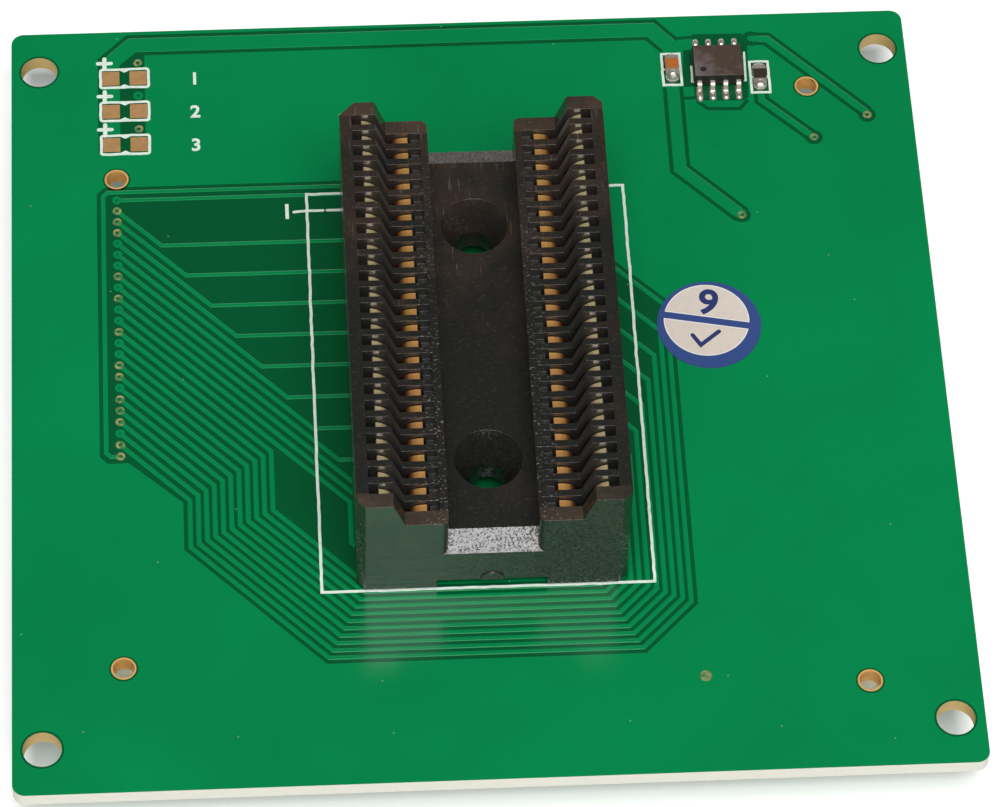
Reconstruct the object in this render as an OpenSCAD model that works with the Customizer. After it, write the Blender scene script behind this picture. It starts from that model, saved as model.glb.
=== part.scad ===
// Adapter board for programming integrated circuits, in millimetres.
// A green circuit board carries an open-top spring-contact socket for a long two-row package,
// a small control chip with its capacitor and resistor, and two shrouded headers underneath
// that plug into the programmer. X runs across the board, Y runs away from the front edge,
// and Z is up from the rims of the headers, on which the board stands.

/* [Board] */
// Width of the board, left to right
board_w = 87.3; // [86:0.1:90]
// Depth of the board, front to back
board_d = 85; // [84:0.1:90]
// Thickness of the laminate
board_t = 1.6; // [0.8:0.1:2.4]
// Radius of the board's corners
board_corner_r = 1.2; // [0.3:0.1:2]
// Diameter of the four corner holes
corner_hole_d = 3.5; // [2:0.1:4]
// Distance from a side edge to a corner hole's centre
corner_hole_inset_x = 2.7; // [2.5:0.05:3.5]
// Distance from the front or back edge to a corner hole's centre
corner_hole_inset_y = 4.65; // [3:0.05:6]

/* [Copper] */
// Thickness of pads and plated walls
copper_t = 0.05; // [0.03:0.01:0.1]
// Air left between a plated wall and its drilled hole
plating_gap = 0.01; // [0.005:0.005:0.02]
// Clear diameter of a guide hole
guide_hole_d = 1.95; // [1.6:0.05:2.4]
// Width of the copper rim round a guide hole
guide_rim_w = 0.12; // [0.1:0.01:0.25]
// Clear diameter of a via
via_hole_d = 0.36; // [0.25:0.01:0.45]
// Width of the copper ring round a via
via_ring_w = 0.2; // [0.1:0.01:0.25]
// Number of vias in the column above the left header
via_count = 24; // [4:1:36]
// Width of one light footprint's pad
led_pad_w = 1.66; // [1:0.02:2]
// Depth of one light footprint's pad
led_pad_d = 1.66; // [1:0.02:2.4]
// Gap between the two pads of a light footprint
led_pad_gap = 0.98; // [0.6:0.02:1.6]
// Distance between light footprints
led_pitch = 4; // [3.6:0.05:4.5]
// Number of light footprints
led_count = 3; // [1:1:3]
// Distance from the left edge to the middle of the light footprints
led_inset_x = 10.95; // [10:0.05:12]
// Distance from the back edge to the middle of the rear light footprint
led_inset_y = 5.7; // [5:0.05:6.4]
// Distance from a light footprint's middle back to the via beside it
led_via_offset = 1.85; // [1.6:0.05:2]
// Diameter of the bare test pad
test_pad_d = 1.1; // [0.6:0.05:2]
// Distance from the right edge to the test pad
test_pad_inset_x = 24.85; // [18:0.05:27]
// Distance from the front edge to the test pad
test_pad_inset_y = 9.9; // [5:0.05:16]

/* [Headers] */
// Spacing of header contacts along a row
header_pitch = 1.27; // [1.2:0.01:1.3]
// Spacing of the two contact rows of a header
header_row_gap = 2.54; // [2:0.01:2.8]
// Number of contacts in one row of the left header
left_header_count = 40; // [28:1:42]
// Number of contacts in one row of the right header
right_header_count = 50; // [46:1:52]
// Distance from a side edge to the centre line of the header beside it
header_inset_x = 10.05; // [9.65:0.05:11.65]
// Distance from the back edge to the left header's middle
left_header_inset_y = 45.05; // [43:0.05:46.5]
// Distance from the back edge to the right header's middle
right_header_inset_y = 42.6; // [41.6:0.05:43.6]
// Height of a header from its rim to the board
header_h = 6; // [4.5:0.1:9]
// Width of a header's housing
header_w = 6; // [5.2:0.1:7]
// Thickness of the shroud's walls
header_wall = 0.7; // [0.5:0.05:0.8]
// Thickness of the housing's base
header_base_t = 1.4; // [1:0.1:2]
// Height of the pads that hold the housing off the board
header_standoff = 0.3; // [0.28:0.01:0.5]
// Distance from the last contact to the centre of the guide hole beside it
guide_offset = 2.46; // [2.4:0.01:3]
// Distance from the last contact to the outside of the housing's end
header_end = 0.98; // [0.95:0.01:1.05]
// Thickness of a header contact's square wire
header_pin_t = 0.4; // [0.25:0.01:0.5]
// Thickness of a header contact's soldered foot
header_foot_t = 0.2; // [0.15:0.01:0.22]
// Length of foot that shows beyond the housing
header_foot_reach = 1.1; // [0.6:0.05:1.5]
// Depth of the contact tips inside the rim
header_tip_depth = 0.8; // [0.3:0.05:1.5]
// Width of the key notch in the outer wall
header_key_w = 3; // [1:0.1:5]
// Height of the key notch from the rim
header_key_h = 2.4; // [1:0.1:3]

/* [Socket body] */
// Contacts in one row of the socket
contact_count = 24; // [8:1:24]
// Spacing of the contacts along a row
contact_pitch = 1.778; // [1.7:0.002:1.8]
// Distance between the left and right rows of package leads
lead_row_gap = 16.1; // [14:0.05:18]
// Height of the tall outer walls above the board
tall_h = 14.14; // [13.9:0.02:16]
// Height of the shelves above the board
shelf_h = 11; // [10.9:0.02:12.5]
// Height of the middle plate above the board
plate_h = 6.93; // [5.5:0.01:8]
// Drop of the middle plate's end ramps
ramp_drop = 1.03; // [0.4:0.01:2]
// Length of the middle plate's end ramps
ramp_run = 2.05; // [1:0.05:4]
// Width of a contact slot
slot_w = 1.1; // [1:0.01:1.2]
// Room from the lead line inward to the slot's end
slot_inner_room = 3.25; // [2.8:0.01:3.5]
// Distance from the lead line in to the ledge at a slot's inner end
ledge_inset = 2.4; // [2.3:0.01:2.6]
// Room between the ledge and the inner leaves' tips above it
ledge_room = 0.33; // [0.2:0.01:1]
// Room from the lead line outward to the slot's end
slot_outer_room = 3.15; // [3.05:0.01:3.6]
// Wall between the slots and the middle channel
lip_w = 0.72; // [0.4:0.01:1]
// Wall outside the slots
outer_wall = 1.14; // [0.8:0.01:2]
// Wall beyond the first and last slots
end_wall = 1.46; // [1:0.01:2]
// Run of the slope that leads the package's legs in
slope_run = 1.05; // [0.5:0.01:1.2]
// Distance from the lead line in to the slope's foot
slope_foot_inset = 0.07; // [0:0.01:0.2]
// Radius of the upright edges at the channel's ends
channel_edge_r = 0.66; // [0.3:0.01:0.7]
// Size of the chamfer that marks the first contact's corner
mark_chamfer = 1.43; // [0.8:0.01:1.6]
// Size of the chamfers on the other three corners
corner_chamfer = 0.8; // [0.3:0.01:1]
// Height of the body's feet
socket_foot_h = 0.3; // [0.1:0.01:0.6]
// Radius of the body's feet
socket_foot_r = 0.7; // [0.4:0.01:0.9]
// Width of the groove under the body
groove_w = 10.1; // [6:0.1:10.4]
// Height of the groove's roof above the board
groove_h = 1.5; // [0.8:0.05:1.8]
// Height of the slot floors above the board
slot_floor_h = 2.2; // [1.9:0.02:2.5]
// Bore of the two screw holes in the middle plate
screw_bore_d = 3.2; // [2:0.05:4]
// Mouth of the screw holes' countersinks
screw_mouth_d = 6.3; // [5:0.05:7]
// Depth of the countersinks
screw_sink_h = 3.2; // [2:0.05:3.6]
// Distance between the two screw holes
screw_gap = 26.06; // [20:0.05:32]
// Width of the mark left where the moulding gate broke off the front face
gate_w = 2.2; // [1:0.1:4]
// Depth by which the gate mark stands out
gate_t = 0.12; // [0.05:0.01:0.3]

/* [Contacts] */
// Thickness of the spring sheet
leaf_t = 0.22; // [0.15:0.01:0.26]
// Width of a leaf
leaf_w = 0.9; // [0.6:0.01:0.94]
// Gap between the two leaves where they grip a lead
leaf_gap = 0.15; // [0.1:0.01:0.3]
// Height of the leaves' pivots above the slot floor
pivot_h = 0.75; // [0.65:0.01:0.9]
// Distance from the lead line to each pivot
pivot_offset = 1.5; // [1.3:0.01:1.7]
// Radius of the round root of a leaf
knuckle_r = 0.3; // [0.25:0.01:0.33]
// Running clearance between a root and its seat
knuckle_gap = 0.03; // [0.02:0.005:0.05]
// Height of the outer leaves' gripping bend above the board
outer_grip_h = 9; // [8:0.05:9.5]
// Distance from the tall walls' top down to the outer leaves' tips
outer_tip_drop = 0.74; // [0.2:0.02:1]
// Reach of the outer leaves' tips beyond the lead line
outer_tip_reach = 2.25; // [1.8:0.01:2.3]
// Height of the inner leaves' gripping bend above the board
inner_grip_h = 8.2; // [7.2:0.05:8.6]
// Distance from the shelves down to the inner leaves' tops
inner_tip_drop = 0.5; // [0.2:0.02:0.8]
// Reach of the inner leaves' tips from the lead line
inner_tip_reach = 2.1; // [1.6:0.01:2.2]
// Thickness of a contact's base strip
base_t = 0.28; // [0.2:0.01:0.35]
// Half width of a pivot's seat
seat_half_w = 0.45; // [0.4:0.01:0.5]
// Height of a pivot's seat above the slot floor
seat_h = 0.65; // [0.55:0.01:0.7]
// Width of a contact's tail
tail_w = 0.45; // [0.3:0.01:0.5]
// Thickness of a contact's tail
tail_t = 0.3; // [0.2:0.01:0.35]
// Distance between the staggered tail rows
tail_stagger = 2.54; // [2:0.02:2.6]
// Diameter of the holes for the tails
tail_hole_d = 0.8; // [0.7:0.01:1]
// Length of tail that shows below the board
tail_reach = 1.4; // [0.8:0.05:2]
// Radius of a tail's solder joint at the board
solder_r = 0.7; // [0.5:0.01:0.8]
// Height of a tail's solder joint
solder_h = 0.7; // [0.4:0.01:0.75]

/* [Control chip] */
// Distance from the right edge to the chip's middle
chip_inset_x = 18.62; // [18.2:0.02:21]
// Distance from the back edge to the chip's middle
chip_inset_y = 6.78; // [6.5:0.02:12]
// Length of the chip's body
chip_l = 4.9; // [4.5:0.05:5]
// Width of the chip's body
chip_w = 3.9; // [3.5:0.05:4.2]
// Height of the chip's body
chip_h = 1.45; // [1.2:0.05:1.7]
// Gap under the chip's body
chip_gap = 0.15; // [0.1:0.01:0.25]
// Legs along one side of the chip
chip_legs = 4; // [2:1:4]
// Spacing of the chip's legs
chip_leg_pitch = 1.27; // [1:0.01:1.3]
// Width of a chip leg
chip_leg_w = 0.42; // [0.3:0.01:0.5]
// Thickness of a chip leg
chip_leg_t = 0.2; // [0.15:0.01:0.25]
// Distance across the tips of the chip's legs
chip_span = 6; // [5.6:0.05:6.2]
// Reach of a chip pad beyond the leg's tip
chip_pad_toe = 0.52; // [0.2:0.01:0.7]
// Share of the body's width that is left at its top and bottom faces
chip_taper = 0.95; // [0.9:0.01:0.98]
// Diameter of the first leg's dimple
chip_dimple_d = 0.9; // [0.5:0.05:1.1]

/* [Capacitor and resistor] */
// Place of the capacitor's middle from the chip's middle, to the right
capacitor_shift_x = -4.43; // [-6:0.01:-4.2]
// Place of the capacitor's middle from the chip's middle, to the back
capacitor_shift_y = 0.28; // [-1:0.01:1]
// Height of the capacitor
capacitor_h = 1; // [0.6:0.05:1.4]
// Place of the resistor's middle from the chip's middle, to the right
resistor_shift_x = 4.07; // [3.9:0.01:4.9]
// Place of the resistor's middle from the chip's middle, to the back
resistor_shift_y = -0.92; // [-2:0.01:0.5]
// Height of the resistor
resistor_h = 0.55; // [0.4:0.05:0.8]
// Length of both small parts
passive_l = 2; // [1.6:0.05:2.4]
// Width of both small parts
passive_w = 1.25; // [0.8:0.05:1.5]
// Length of a soldered end
passive_end = 0.42; // [0.25:0.01:0.5]
// Thickness of the resistor's film
film_t = 0.06; // [0.03:0.01:0.1]
// Length of solder beyond a soldered end
passive_solder_run = 0.55; // [0.3:0.05:0.7]

/* [Sticker] */
// Diameter of the round inspection sticker
sticker_d = 9.85; // [6:0.05:12]
// Thickness of the sticker
sticker_t = 0.1; // [0.05:0.01:0.2]
// Distance from the right edge to the sticker's middle
sticker_inset_x = 21.68; // [18:0.02:22.5]
// Place of the sticker's middle front to back, from the board's middle
sticker_y = 5.68; // [-10:0.02:15]

/* [Hidden] */
$fn = 32;

// Extra depth that carries a cut clear of the face it opens
over = 0.5;

// Heights of the board's two faces
under_z = header_h;
top_z = header_h + board_t;

// Places of the board's right and back edges
right_x = board_w / 2;
back_y = board_d / 2;

// Places of the headers' middles
header_x = right_x - header_inset_x;
left_header_y = back_y - left_header_inset_y;
right_header_y = back_y - right_header_inset_y;

// Places of the holes
corner_hole_x = right_x - corner_hole_inset_x;
corner_hole_y = back_y - corner_hole_inset_y;
left_span = (left_header_count - 1) * header_pitch;
right_span = (right_header_count - 1) * header_pitch;
guide_places = [
    [-header_x, left_header_y + left_span / 2 + guide_offset],
    [-header_x, left_header_y - left_span / 2 - guide_offset],
    [header_x, right_header_y + right_span / 2 + guide_offset],
    [header_x, right_header_y - right_span / 2 - guide_offset]];
guide_drill_r = guide_hole_d / 2 + copper_t + plating_gap;
via_drill_r = via_hole_d / 2 + copper_t + plating_gap;

// Places of the small parts, kept from the board's edges and from each other
led_x = -right_x + led_inset_x;
led_y = back_y - led_inset_y;
test_pad_x = right_x - test_pad_inset_x;
test_pad_y = -back_y + test_pad_inset_y;
chip_x = right_x - chip_inset_x;
chip_y = back_y - chip_inset_y;
capacitor_x = chip_x + capacitor_shift_x;
capacitor_y = chip_y + capacitor_shift_y;
resistor_x = chip_x + resistor_shift_x;
resistor_y = chip_y + resistor_shift_y;
sticker_x = right_x - sticker_inset_x;

// Vias: the column over the left header, three on the right and one beside each light
via_column = [for (i = [0 : via_count - 1])
    [-header_x, left_header_y + left_span / 2 - i * header_pitch]];
right_via_insets = [[9.85, 15.2], [4.45, 12.7], [17.55, 24.2]];
right_vias = [for (inset = right_via_insets) [right_x - inset[0], back_y - inset[1]]];
led_vias = [for (i = [0 : led_count - 1])
    [led_x + (led_pad_w + led_pad_gap) / 2, led_y + led_via_offset - i * led_pitch]];
via_places = concat(via_column, right_vias, led_vias);

// Cross-section of the socket, measured from its middle
lead_u = lead_row_gap / 2;
slot_in_u = lead_u - slot_inner_room;
slot_out_u = lead_u + slot_outer_room;
channel_half = slot_in_u - lip_w;
body_half = slot_out_u + outer_wall;
slope_foot_u = lead_u - slope_foot_inset;
slope_top_u = slope_foot_u + slope_run;
socket_len = (contact_count - 1) * contact_pitch + slot_w + 2 * end_wall;
outer_pivot = [lead_u + pivot_offset, slot_floor_h + pivot_h];
inner_pivot = [lead_u - pivot_offset, slot_floor_h + pivot_h];
outer_grip_u = lead_u + (leaf_gap + leaf_t) / 2;
inner_grip_u = lead_u - (leaf_gap + leaf_t) / 2;
outer_tip = [lead_u + outer_tip_reach, tall_h - outer_tip_drop - leaf_t / 2];
inner_tip = [lead_u - inner_tip_reach, shelf_h - inner_tip_drop - leaf_t / 2];

// Points along each half of a leaf's bent strip
leaf_steps = 7;

// Clearance round a tail where it passes the body's floor
tail_gap = 0.1;

// Copper under the small parts and the headers
pad_margin = 0.1;

// Place of contact i along its row, counted from the back
function contact_y(i) = ((contact_count - 1) / 2 - i) * contact_pitch;

// Distance of contact i's tail from the socket's middle: odd and even tails are staggered
function tail_u(i) = lead_u + (i % 2 == 0 ? 1 : -1) * tail_stagger / 2;

// Point at share t along a cubic curve with four control points
function curve_point(p, t) =
    pow(1 - t, 3) * p[0] + 3 * pow(1 - t, 2) * t * p[1] + 3 * (1 - t) * t * t * p[2] + pow(t, 3) * p[3];

// Points along a cubic curve, from its start to its end
function curve(p, steps) = [for (i = [0 : steps]) curve_point(p, i / steps)];

// Unit normal of a path at point i
function path_normal(path, i) =
    let (step = path[min(i + 1, len(path) - 1)] - path[max(i - 1, 0)])
    [-step[1], step[0]] / norm(step);

// Outline of a strip of the given thickness that follows a path
function ribbon(path, thickness) = concat(
    [for (i = [0 : len(path) - 1]) path[i] + path_normal(path, i) * thickness / 2],
    [for (i = [len(path) - 1 : -1 : 0]) path[i] - path_normal(path, i) * thickness / 2]);

// Two curves in a row, without the point they share
function join_curves(first, second, steps) =
    concat(curve(first, steps), [for (i = [1 : steps]) curve(second, steps)[i]]);

// Bent strip of an outer leaf: up from its pivot, in to the grip, then out to a flared tip
outer_leaf_path = let (
    grip = [outer_grip_u, outer_grip_h],
    leg = outer_grip_h - outer_pivot[1],
    rise = outer_tip[1] - outer_grip_h)
    join_curves(
        [outer_pivot, outer_pivot + [0, leg * 0.4], grip - [0, leg * 0.35], grip],
        [grip, grip + [0, rise * 0.5], outer_tip - [outer_tip_reach * 0.6, rise * 0.06], outer_tip],
        leaf_steps);

// Bent strip of an inner leaf: up from its pivot, out to the grip, then back over a rounded top
inner_leaf_path = let (
    grip = [inner_grip_u, inner_grip_h],
    leg = inner_grip_h - inner_pivot[1],
    rise = inner_tip[1] - inner_grip_h)
    join_curves(
        [inner_pivot, inner_pivot + [0, leg * 0.4], grip - [0, leg * 0.35], grip],
        [grip, grip + [0, rise * 0.75], inner_tip + [inner_tip_reach * 0.65, rise * 0.03], inner_tip],
        leaf_steps);

// Turns a drawing of a cross-section upright and extrudes it along Y about its middle
module along_y(length) {
    rotate([90, 0, 0])
        linear_extrude(length, center = true)
            children();
}

// Places a copy of the children at each contact of one side of the socket
module at_contacts(side) {
    for (i = [0 : contact_count - 1])
        translate([0, contact_y(i), top_z])
            mirror([side < 0 ? 1 : 0, 0, 0])
                children();
}

// Plated wall of a hole through the board, with a ring on each face
module plated_barrel(hole_d, ring_w) {
    wall_r = hole_d / 2 + copper_t;
    difference() {
        union() {
            translate([0, 0, under_z - copper_t])
                cylinder(h = board_t + 2 * copper_t, r = wall_r);
            for (z = [under_z - copper_t, top_z])
                translate([0, 0, z])
                    cylinder(h = copper_t, r = wall_r + ring_w);
        }
        translate([0, 0, under_z - over])
            cylinder(h = board_t + 2 * over, d = hole_d);
    }
}

// Outline of the board with rounded corners
module board_outline() {
    square([board_w - 2 * board_corner_r, board_d], center = true);
    square([board_w, board_d - 2 * board_corner_r], center = true);
    for (x = [-1, 1], y = [-1, 1])
        translate([x * (board_w / 2 - board_corner_r), y * (board_d / 2 - board_corner_r)])
            circle(r = board_corner_r);
}

// Laminate with its corner holes, guide holes, vias and tail holes
module board() {
    color("seagreen")
    difference() {
        translate([0, 0, under_z])
            linear_extrude(board_t)
                board_outline();
        translate([0, 0, under_z - over]) {
            for (x = [-1, 1], y = [-1, 1])
                translate([x * corner_hole_x, y * corner_hole_y])
                    cylinder(h = board_t + 2 * over, d = corner_hole_d);
            for (place = guide_places)
                translate(place)
                    cylinder(h = board_t + 2 * over, r = guide_drill_r);
            for (place = via_places)
                translate(place)
                    cylinder(h = board_t + 2 * over, r = via_drill_r);
            for (side = [-1, 1], i = [0 : contact_count - 1])
                translate([side * tail_u(i), contact_y(i)])
                    cylinder(h = board_t + 2 * over, d = tail_hole_d);
        }
    }
}

// Copper walls of the four holes for the programmer's guide pins
module guide_barrels() {
    color("peru")
    for (place = guide_places)
        translate(place)
            plated_barrel(guide_hole_d, guide_rim_w);
}

// Copper walls of the vias
module via_barrels() {
    color("darkkhaki")
    for (place = via_places)
        translate(place)
            plated_barrel(via_hole_d, via_ring_w);
}

// Bare pads of the light footprints that are left empty
module led_pads() {
    color("tan")
    for (i = [0 : led_count - 1], side = [-1, 1])
        translate([led_x + side * (led_pad_w + led_pad_gap) / 2, led_y - i * led_pitch, top_z + copper_t / 2])
            cube([led_pad_w, led_pad_d, copper_t], center = true);
}

// Round bare test pad
module test_pad() {
    color("tan")
    translate([test_pad_x, test_pad_y, top_z])
        cylinder(h = copper_t, d = test_pad_d);
}

// Cross-section of the socket's moulding before the channel is cut
module socket_section() {
    right_half = [
        [slope_foot_u, shelf_h],
        [slope_top_u, tall_h],
        [body_half, tall_h],
        [body_half, socket_foot_h],
        [groove_w / 2, socket_foot_h],
        [groove_w / 2, groove_h]];
    left_half = [for (i = [len(right_half) - 1 : -1 : 0]) [-right_half[i][0], right_half[i][1]]];
    polygon(concat(right_half, left_half));
}

// Plan of the middle channel, with its end edges rounded outward
module channel_plan() {
    square([2 * channel_half, socket_len + 2 * over], center = true);
    for (x = [0, 1], y = [0, 1])
        mirror([x, 0])
            mirror([0, y])
                translate([channel_half, socket_len / 2 - channel_edge_r])
                    difference() {
                        square(channel_edge_r);
                        translate([channel_edge_r, 0])
                            circle(r = channel_edge_r);
                    }
}

// Middle plate seen from the side, with a ramp at each end, wide enough to floor the channel
module plate_floor() {
    end = socket_len / 2 + over;
    ramp_slope = ramp_drop / ramp_run;
    rotate([90, 0, 90])
        linear_extrude(2 * body_half, center = true)
            polygon([
                [-end, 0],
                [-end, plate_h - ramp_drop - over * ramp_slope],
                [-socket_len / 2 + ramp_run, plate_h],
                [socket_len / 2 - ramp_run, plate_h],
                [end, plate_h - ramp_drop - over * ramp_slope],
                [end, 0]]);
}

// Space of the middle channel above its plate and ramps
module channel_space() {
    difference() {
        linear_extrude(tall_h + over)
            channel_plan();
        plate_floor();
    }
}

// Chamfer cut down one upright corner of the socket
module corner_cut(x_sign, y_sign, size) {
    translate([x_sign * body_half, y_sign * socket_len / 2, tall_h / 2])
        rotate([0, 0, 45])
            cube([size * sqrt(2), size * sqrt(2), tall_h + 2 * over], center = true);
}

// Countersunk hole for a screw through the middle plate
module screw_hole() {
    cylinder(h = plate_h + over, d = screw_bore_d);
    translate([0, 0, plate_h - screw_sink_h])
        cylinder(h = screw_sink_h, d1 = screw_bore_d, d2 = screw_mouth_d);
    translate([0, 0, plate_h])
        cylinder(h = over, d = screw_mouth_d);
}

// Slots of one side of the socket, each with a ledge at its inner end and the hole for its contact's tail
module contact_slots(side) {
    ledge_u = lead_u - ledge_inset;
    ledge_h = inner_tip[1] - leaf_t / 2 - ledge_room;
    for (i = [0 : contact_count - 1])
        translate([0, contact_y(i), 0])
            mirror([side < 0 ? 1 : 0, 0, 0]) {
                along_y(slot_w)
                    polygon([
                        [slot_in_u, tall_h + over],
                        [slot_in_u, ledge_h],
                        [ledge_u, ledge_h],
                        [ledge_u, slot_floor_h],
                        [slot_out_u, slot_floor_h],
                        [slot_out_u, tall_h + over]]);
                translate([tail_u(i), 0, slot_floor_h / 2])
                    cube([tail_t + 2 * tail_gap, tail_w + 2 * tail_gap, slot_floor_h + over], center = true);
            }
}

// Mark where the moulding gate broke off, above the groove of the front face
module gate_mark() {
    translate([0, -socket_len / 2, groove_h])
        rotate([90, 0, 0])
            linear_extrude(gate_t)
                intersection() {
                    circle(d = gate_w);
                    translate([-gate_w / 2, 0])
                        square(gate_w);
                }
}

// One-piece moulding of the socket
module socket_body() {
    foot_x = body_half - corner_chamfer - socket_foot_r;
    foot_y = socket_len / 2 - corner_chamfer - socket_foot_r;
    color("#2a2623")
    translate([0, 0, top_z]) {
        difference() {
            along_y(socket_len)
                socket_section();
            channel_space();
            contact_slots(-1);
            contact_slots(1);
            corner_cut(-1, 1, mark_chamfer);
            corner_cut(1, 1, corner_chamfer);
            corner_cut(-1, -1, corner_chamfer);
            corner_cut(1, -1, corner_chamfer);
            for (y = [-1, 1])
                translate([0, y * screw_gap / 2, 0])
                    screw_hole();
        }
        for (x = [-1, 1], y = [-1, 1])
            translate([x * foot_x, y * foot_y, 0])
                cylinder(h = socket_foot_h, r = socket_foot_r);
        gate_mark();
    }
}

// Base strip of one contact with a round seat for each leaf, and its tail
module contact_base(i) {
    strip_in = inner_pivot[0] - seat_half_w;
    strip_out = outer_pivot[0] + seat_half_w;
    along_y(leaf_w)
        difference() {
            union() {
                translate([strip_in, slot_floor_h])
                    square([strip_out - strip_in, base_t]);
                for (pivot = [inner_pivot, outer_pivot])
                    translate([pivot[0] - seat_half_w, slot_floor_h])
                        square([2 * seat_half_w, seat_h]);
            }
            for (pivot = [inner_pivot, outer_pivot])
                translate(pivot)
                    circle(r = knuckle_r + knuckle_gap);
        }
    tail_bottom = -board_t - tail_reach;
    translate([tail_u(i) - tail_t / 2, -tail_w / 2, tail_bottom])
        cube([tail_t, tail_w, slot_floor_h - tail_bottom]);
}

// Contact bases of one side of the socket
module contact_bases(side) {
    color("goldenrod")
    for (i = [0 : contact_count - 1])
        translate([0, contact_y(i), top_z])
            mirror([side < 0 ? 1 : 0, 0, 0])
                contact_base(i);
}

// One spring leaf on its round root
module leaf(path) {
    along_y(leaf_w) {
        polygon(ribbon(path, leaf_t));
        translate(path[0])
            circle(r = knuckle_r);
    }
}

// Row of outer leaves of one side
module outer_leaves(side) {
    color("darkkhaki")
    at_contacts(side)
        leaf(outer_leaf_path);
}

// Row of inner leaves of one side
module inner_leaves(side) {
    color("orange")
    at_contacts(side)
        leaf(inner_leaf_path);
}

module left_contact_bases() { contact_bases(-1); }
module right_contact_bases() { contact_bases(1); }
module left_outer_leaves() { outer_leaves(-1); }
module left_inner_leaves() { inner_leaves(-1); }
module right_outer_leaves() { outer_leaves(1); }
module right_inner_leaves() { inner_leaves(1); }

// Solder cones round the tails under the board
module contact_solder() {
    color("silver")
    for (side = [-1, 1], i = [0 : contact_count - 1])
        translate([side * tail_u(i), contact_y(i), under_z])
            difference() {
                mirror([0, 0, 1])
                    cylinder(h = solder_h, r1 = solder_r, r2 = tail_w);
                cube([tail_t, tail_w, 2 * solder_h + over], center = true);
            }
}

// Moulded body of the control chip: two tapered halves that meet where the legs come out
module chip_body() {
    half_h = chip_h / 2;
    color("#2b2b2d")
    translate([chip_x, chip_y, top_z + copper_t + chip_gap + half_h])
        difference() {
            for (z = [0, 1])
                mirror([0, 0, z])
                    linear_extrude(half_h, scale = chip_taper)
                        square([chip_l, chip_w], center = true);
            translate([-chip_l / 2 + chip_dimple_d, -chip_w / 2 + chip_dimple_d, half_h - copper_t])
                cylinder(h = over, d = chip_dimple_d);
        }
}

// Places a copy of the children at each leg of the chip, facing outward
module at_chip_legs() {
    for (side = [0, 1], i = [0 : chip_legs - 1])
        translate([chip_x + (i - (chip_legs - 1) / 2) * chip_leg_pitch, chip_y, top_z])
            rotate([0, 0, side * 180])
                children();
}

// Formed legs of the control chip
module chip_legs_formed() {
    leg_z = copper_t + chip_gap + chip_h / 2;
    foot_z = copper_t + chip_leg_t / 2;
    reach = (chip_span - chip_w) / 2;
    path = curve([
        [chip_w / 2, leg_z],
        [chip_w / 2 + reach * 0.85, leg_z],
        [chip_w / 2 + reach * 0.15, foot_z],
        [chip_span / 2, foot_z]], 2 * leaf_steps);
    color("silver")
    at_chip_legs()
        rotate([90, 0, 90])
            linear_extrude(chip_leg_w, center = true)
                polygon(ribbon(path, chip_leg_t));
}

// Tinned pads under the chip's legs
module chip_pads() {
    pad_l = (chip_span - chip_w) / 2 + chip_pad_toe;
    color("lightgray")
    at_chip_legs()
        translate([0, chip_span / 2 + chip_pad_toe - pad_l / 2, copper_t / 2])
            cube([chip_leg_w + 2 * pad_margin, pad_l, copper_t], center = true);
}

// Block between the soldered ends of a small part
module passive_core(height) {
    translate([0, 0, copper_t + height / 2])
        cube([passive_w, passive_l - 2 * passive_end, height], center = true);
}

// Soldered ends of a small part
module passive_ends(height) {
    for (side = [-1, 1])
        translate([0, side * (passive_l - passive_end) / 2, copper_t + height / 2])
            cube([passive_w, passive_end, height], center = true);
}

// Pads of a small part with a slope of solder against each end
module passive_joints(height) {
    pad_l = passive_end + passive_solder_run;
    for (side = [0, 1])
        mirror([0, side, 0]) {
            translate([0, passive_l / 2 - passive_end + pad_l / 2, copper_t / 2])
                cube([passive_w + 2 * pad_margin, pad_l, copper_t], center = true);
            translate([0, passive_l / 2, copper_t])
                rotate([90, 0, 90])
                    linear_extrude(passive_w, center = true)
                        polygon([[0, 0], [passive_solder_run, 0], [0, height * 0.7]]);
        }
}

module at_capacitor() { translate([capacitor_x, capacitor_y, top_z]) children(); }
module at_resistor() { translate([resistor_x, resistor_y, top_z]) children(); }

// Ceramic block of the capacitor
module capacitor_body() {
    color("peru")
    at_capacitor()
        passive_core(capacitor_h);
}

// Tinned ends of the capacitor
module capacitor_ends() {
    color("silver")
    at_capacitor()
        passive_ends(capacitor_h);
}

// Ceramic block of the resistor
module resistor_body() {
    color("whitesmoke")
    at_resistor()
        passive_core(resistor_h - film_t);
}

// Dark resistive film on top of the resistor
module resistor_film() {
    color("#26241f")
    at_resistor()
        translate([0, 0, copper_t + resistor_h - film_t / 2])
            cube([passive_w, passive_l - 2 * passive_end, film_t], center = true);
}

// Tinned ends of the resistor
module resistor_ends() {
    color("silver")
    at_resistor()
        passive_ends(resistor_h);
}

// Pads and solder of the capacitor and the resistor
module passive_solder() {
    color("lightgray") {
        at_capacitor()
            passive_joints(capacitor_h);
        at_resistor()
            passive_joints(resistor_h);
    }
}

// Round paper sticker
module inspection_sticker() {
    color("royalblue")
    translate([sticker_x, sticker_y, top_z])
        cylinder(h = sticker_t, d = sticker_d, $fn = 64);
}

// Places a copy of the children at each contact of a header, facing outward from its middle
module at_header_contacts(count) {
    for (side = [0, 1], i = [0 : count - 1])
        translate([0, (i - (count - 1) / 2) * header_pitch, 0])
            mirror([side, 0, 0])
                translate([header_row_gap / 2, 0, 0])
                    children();
}

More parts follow.
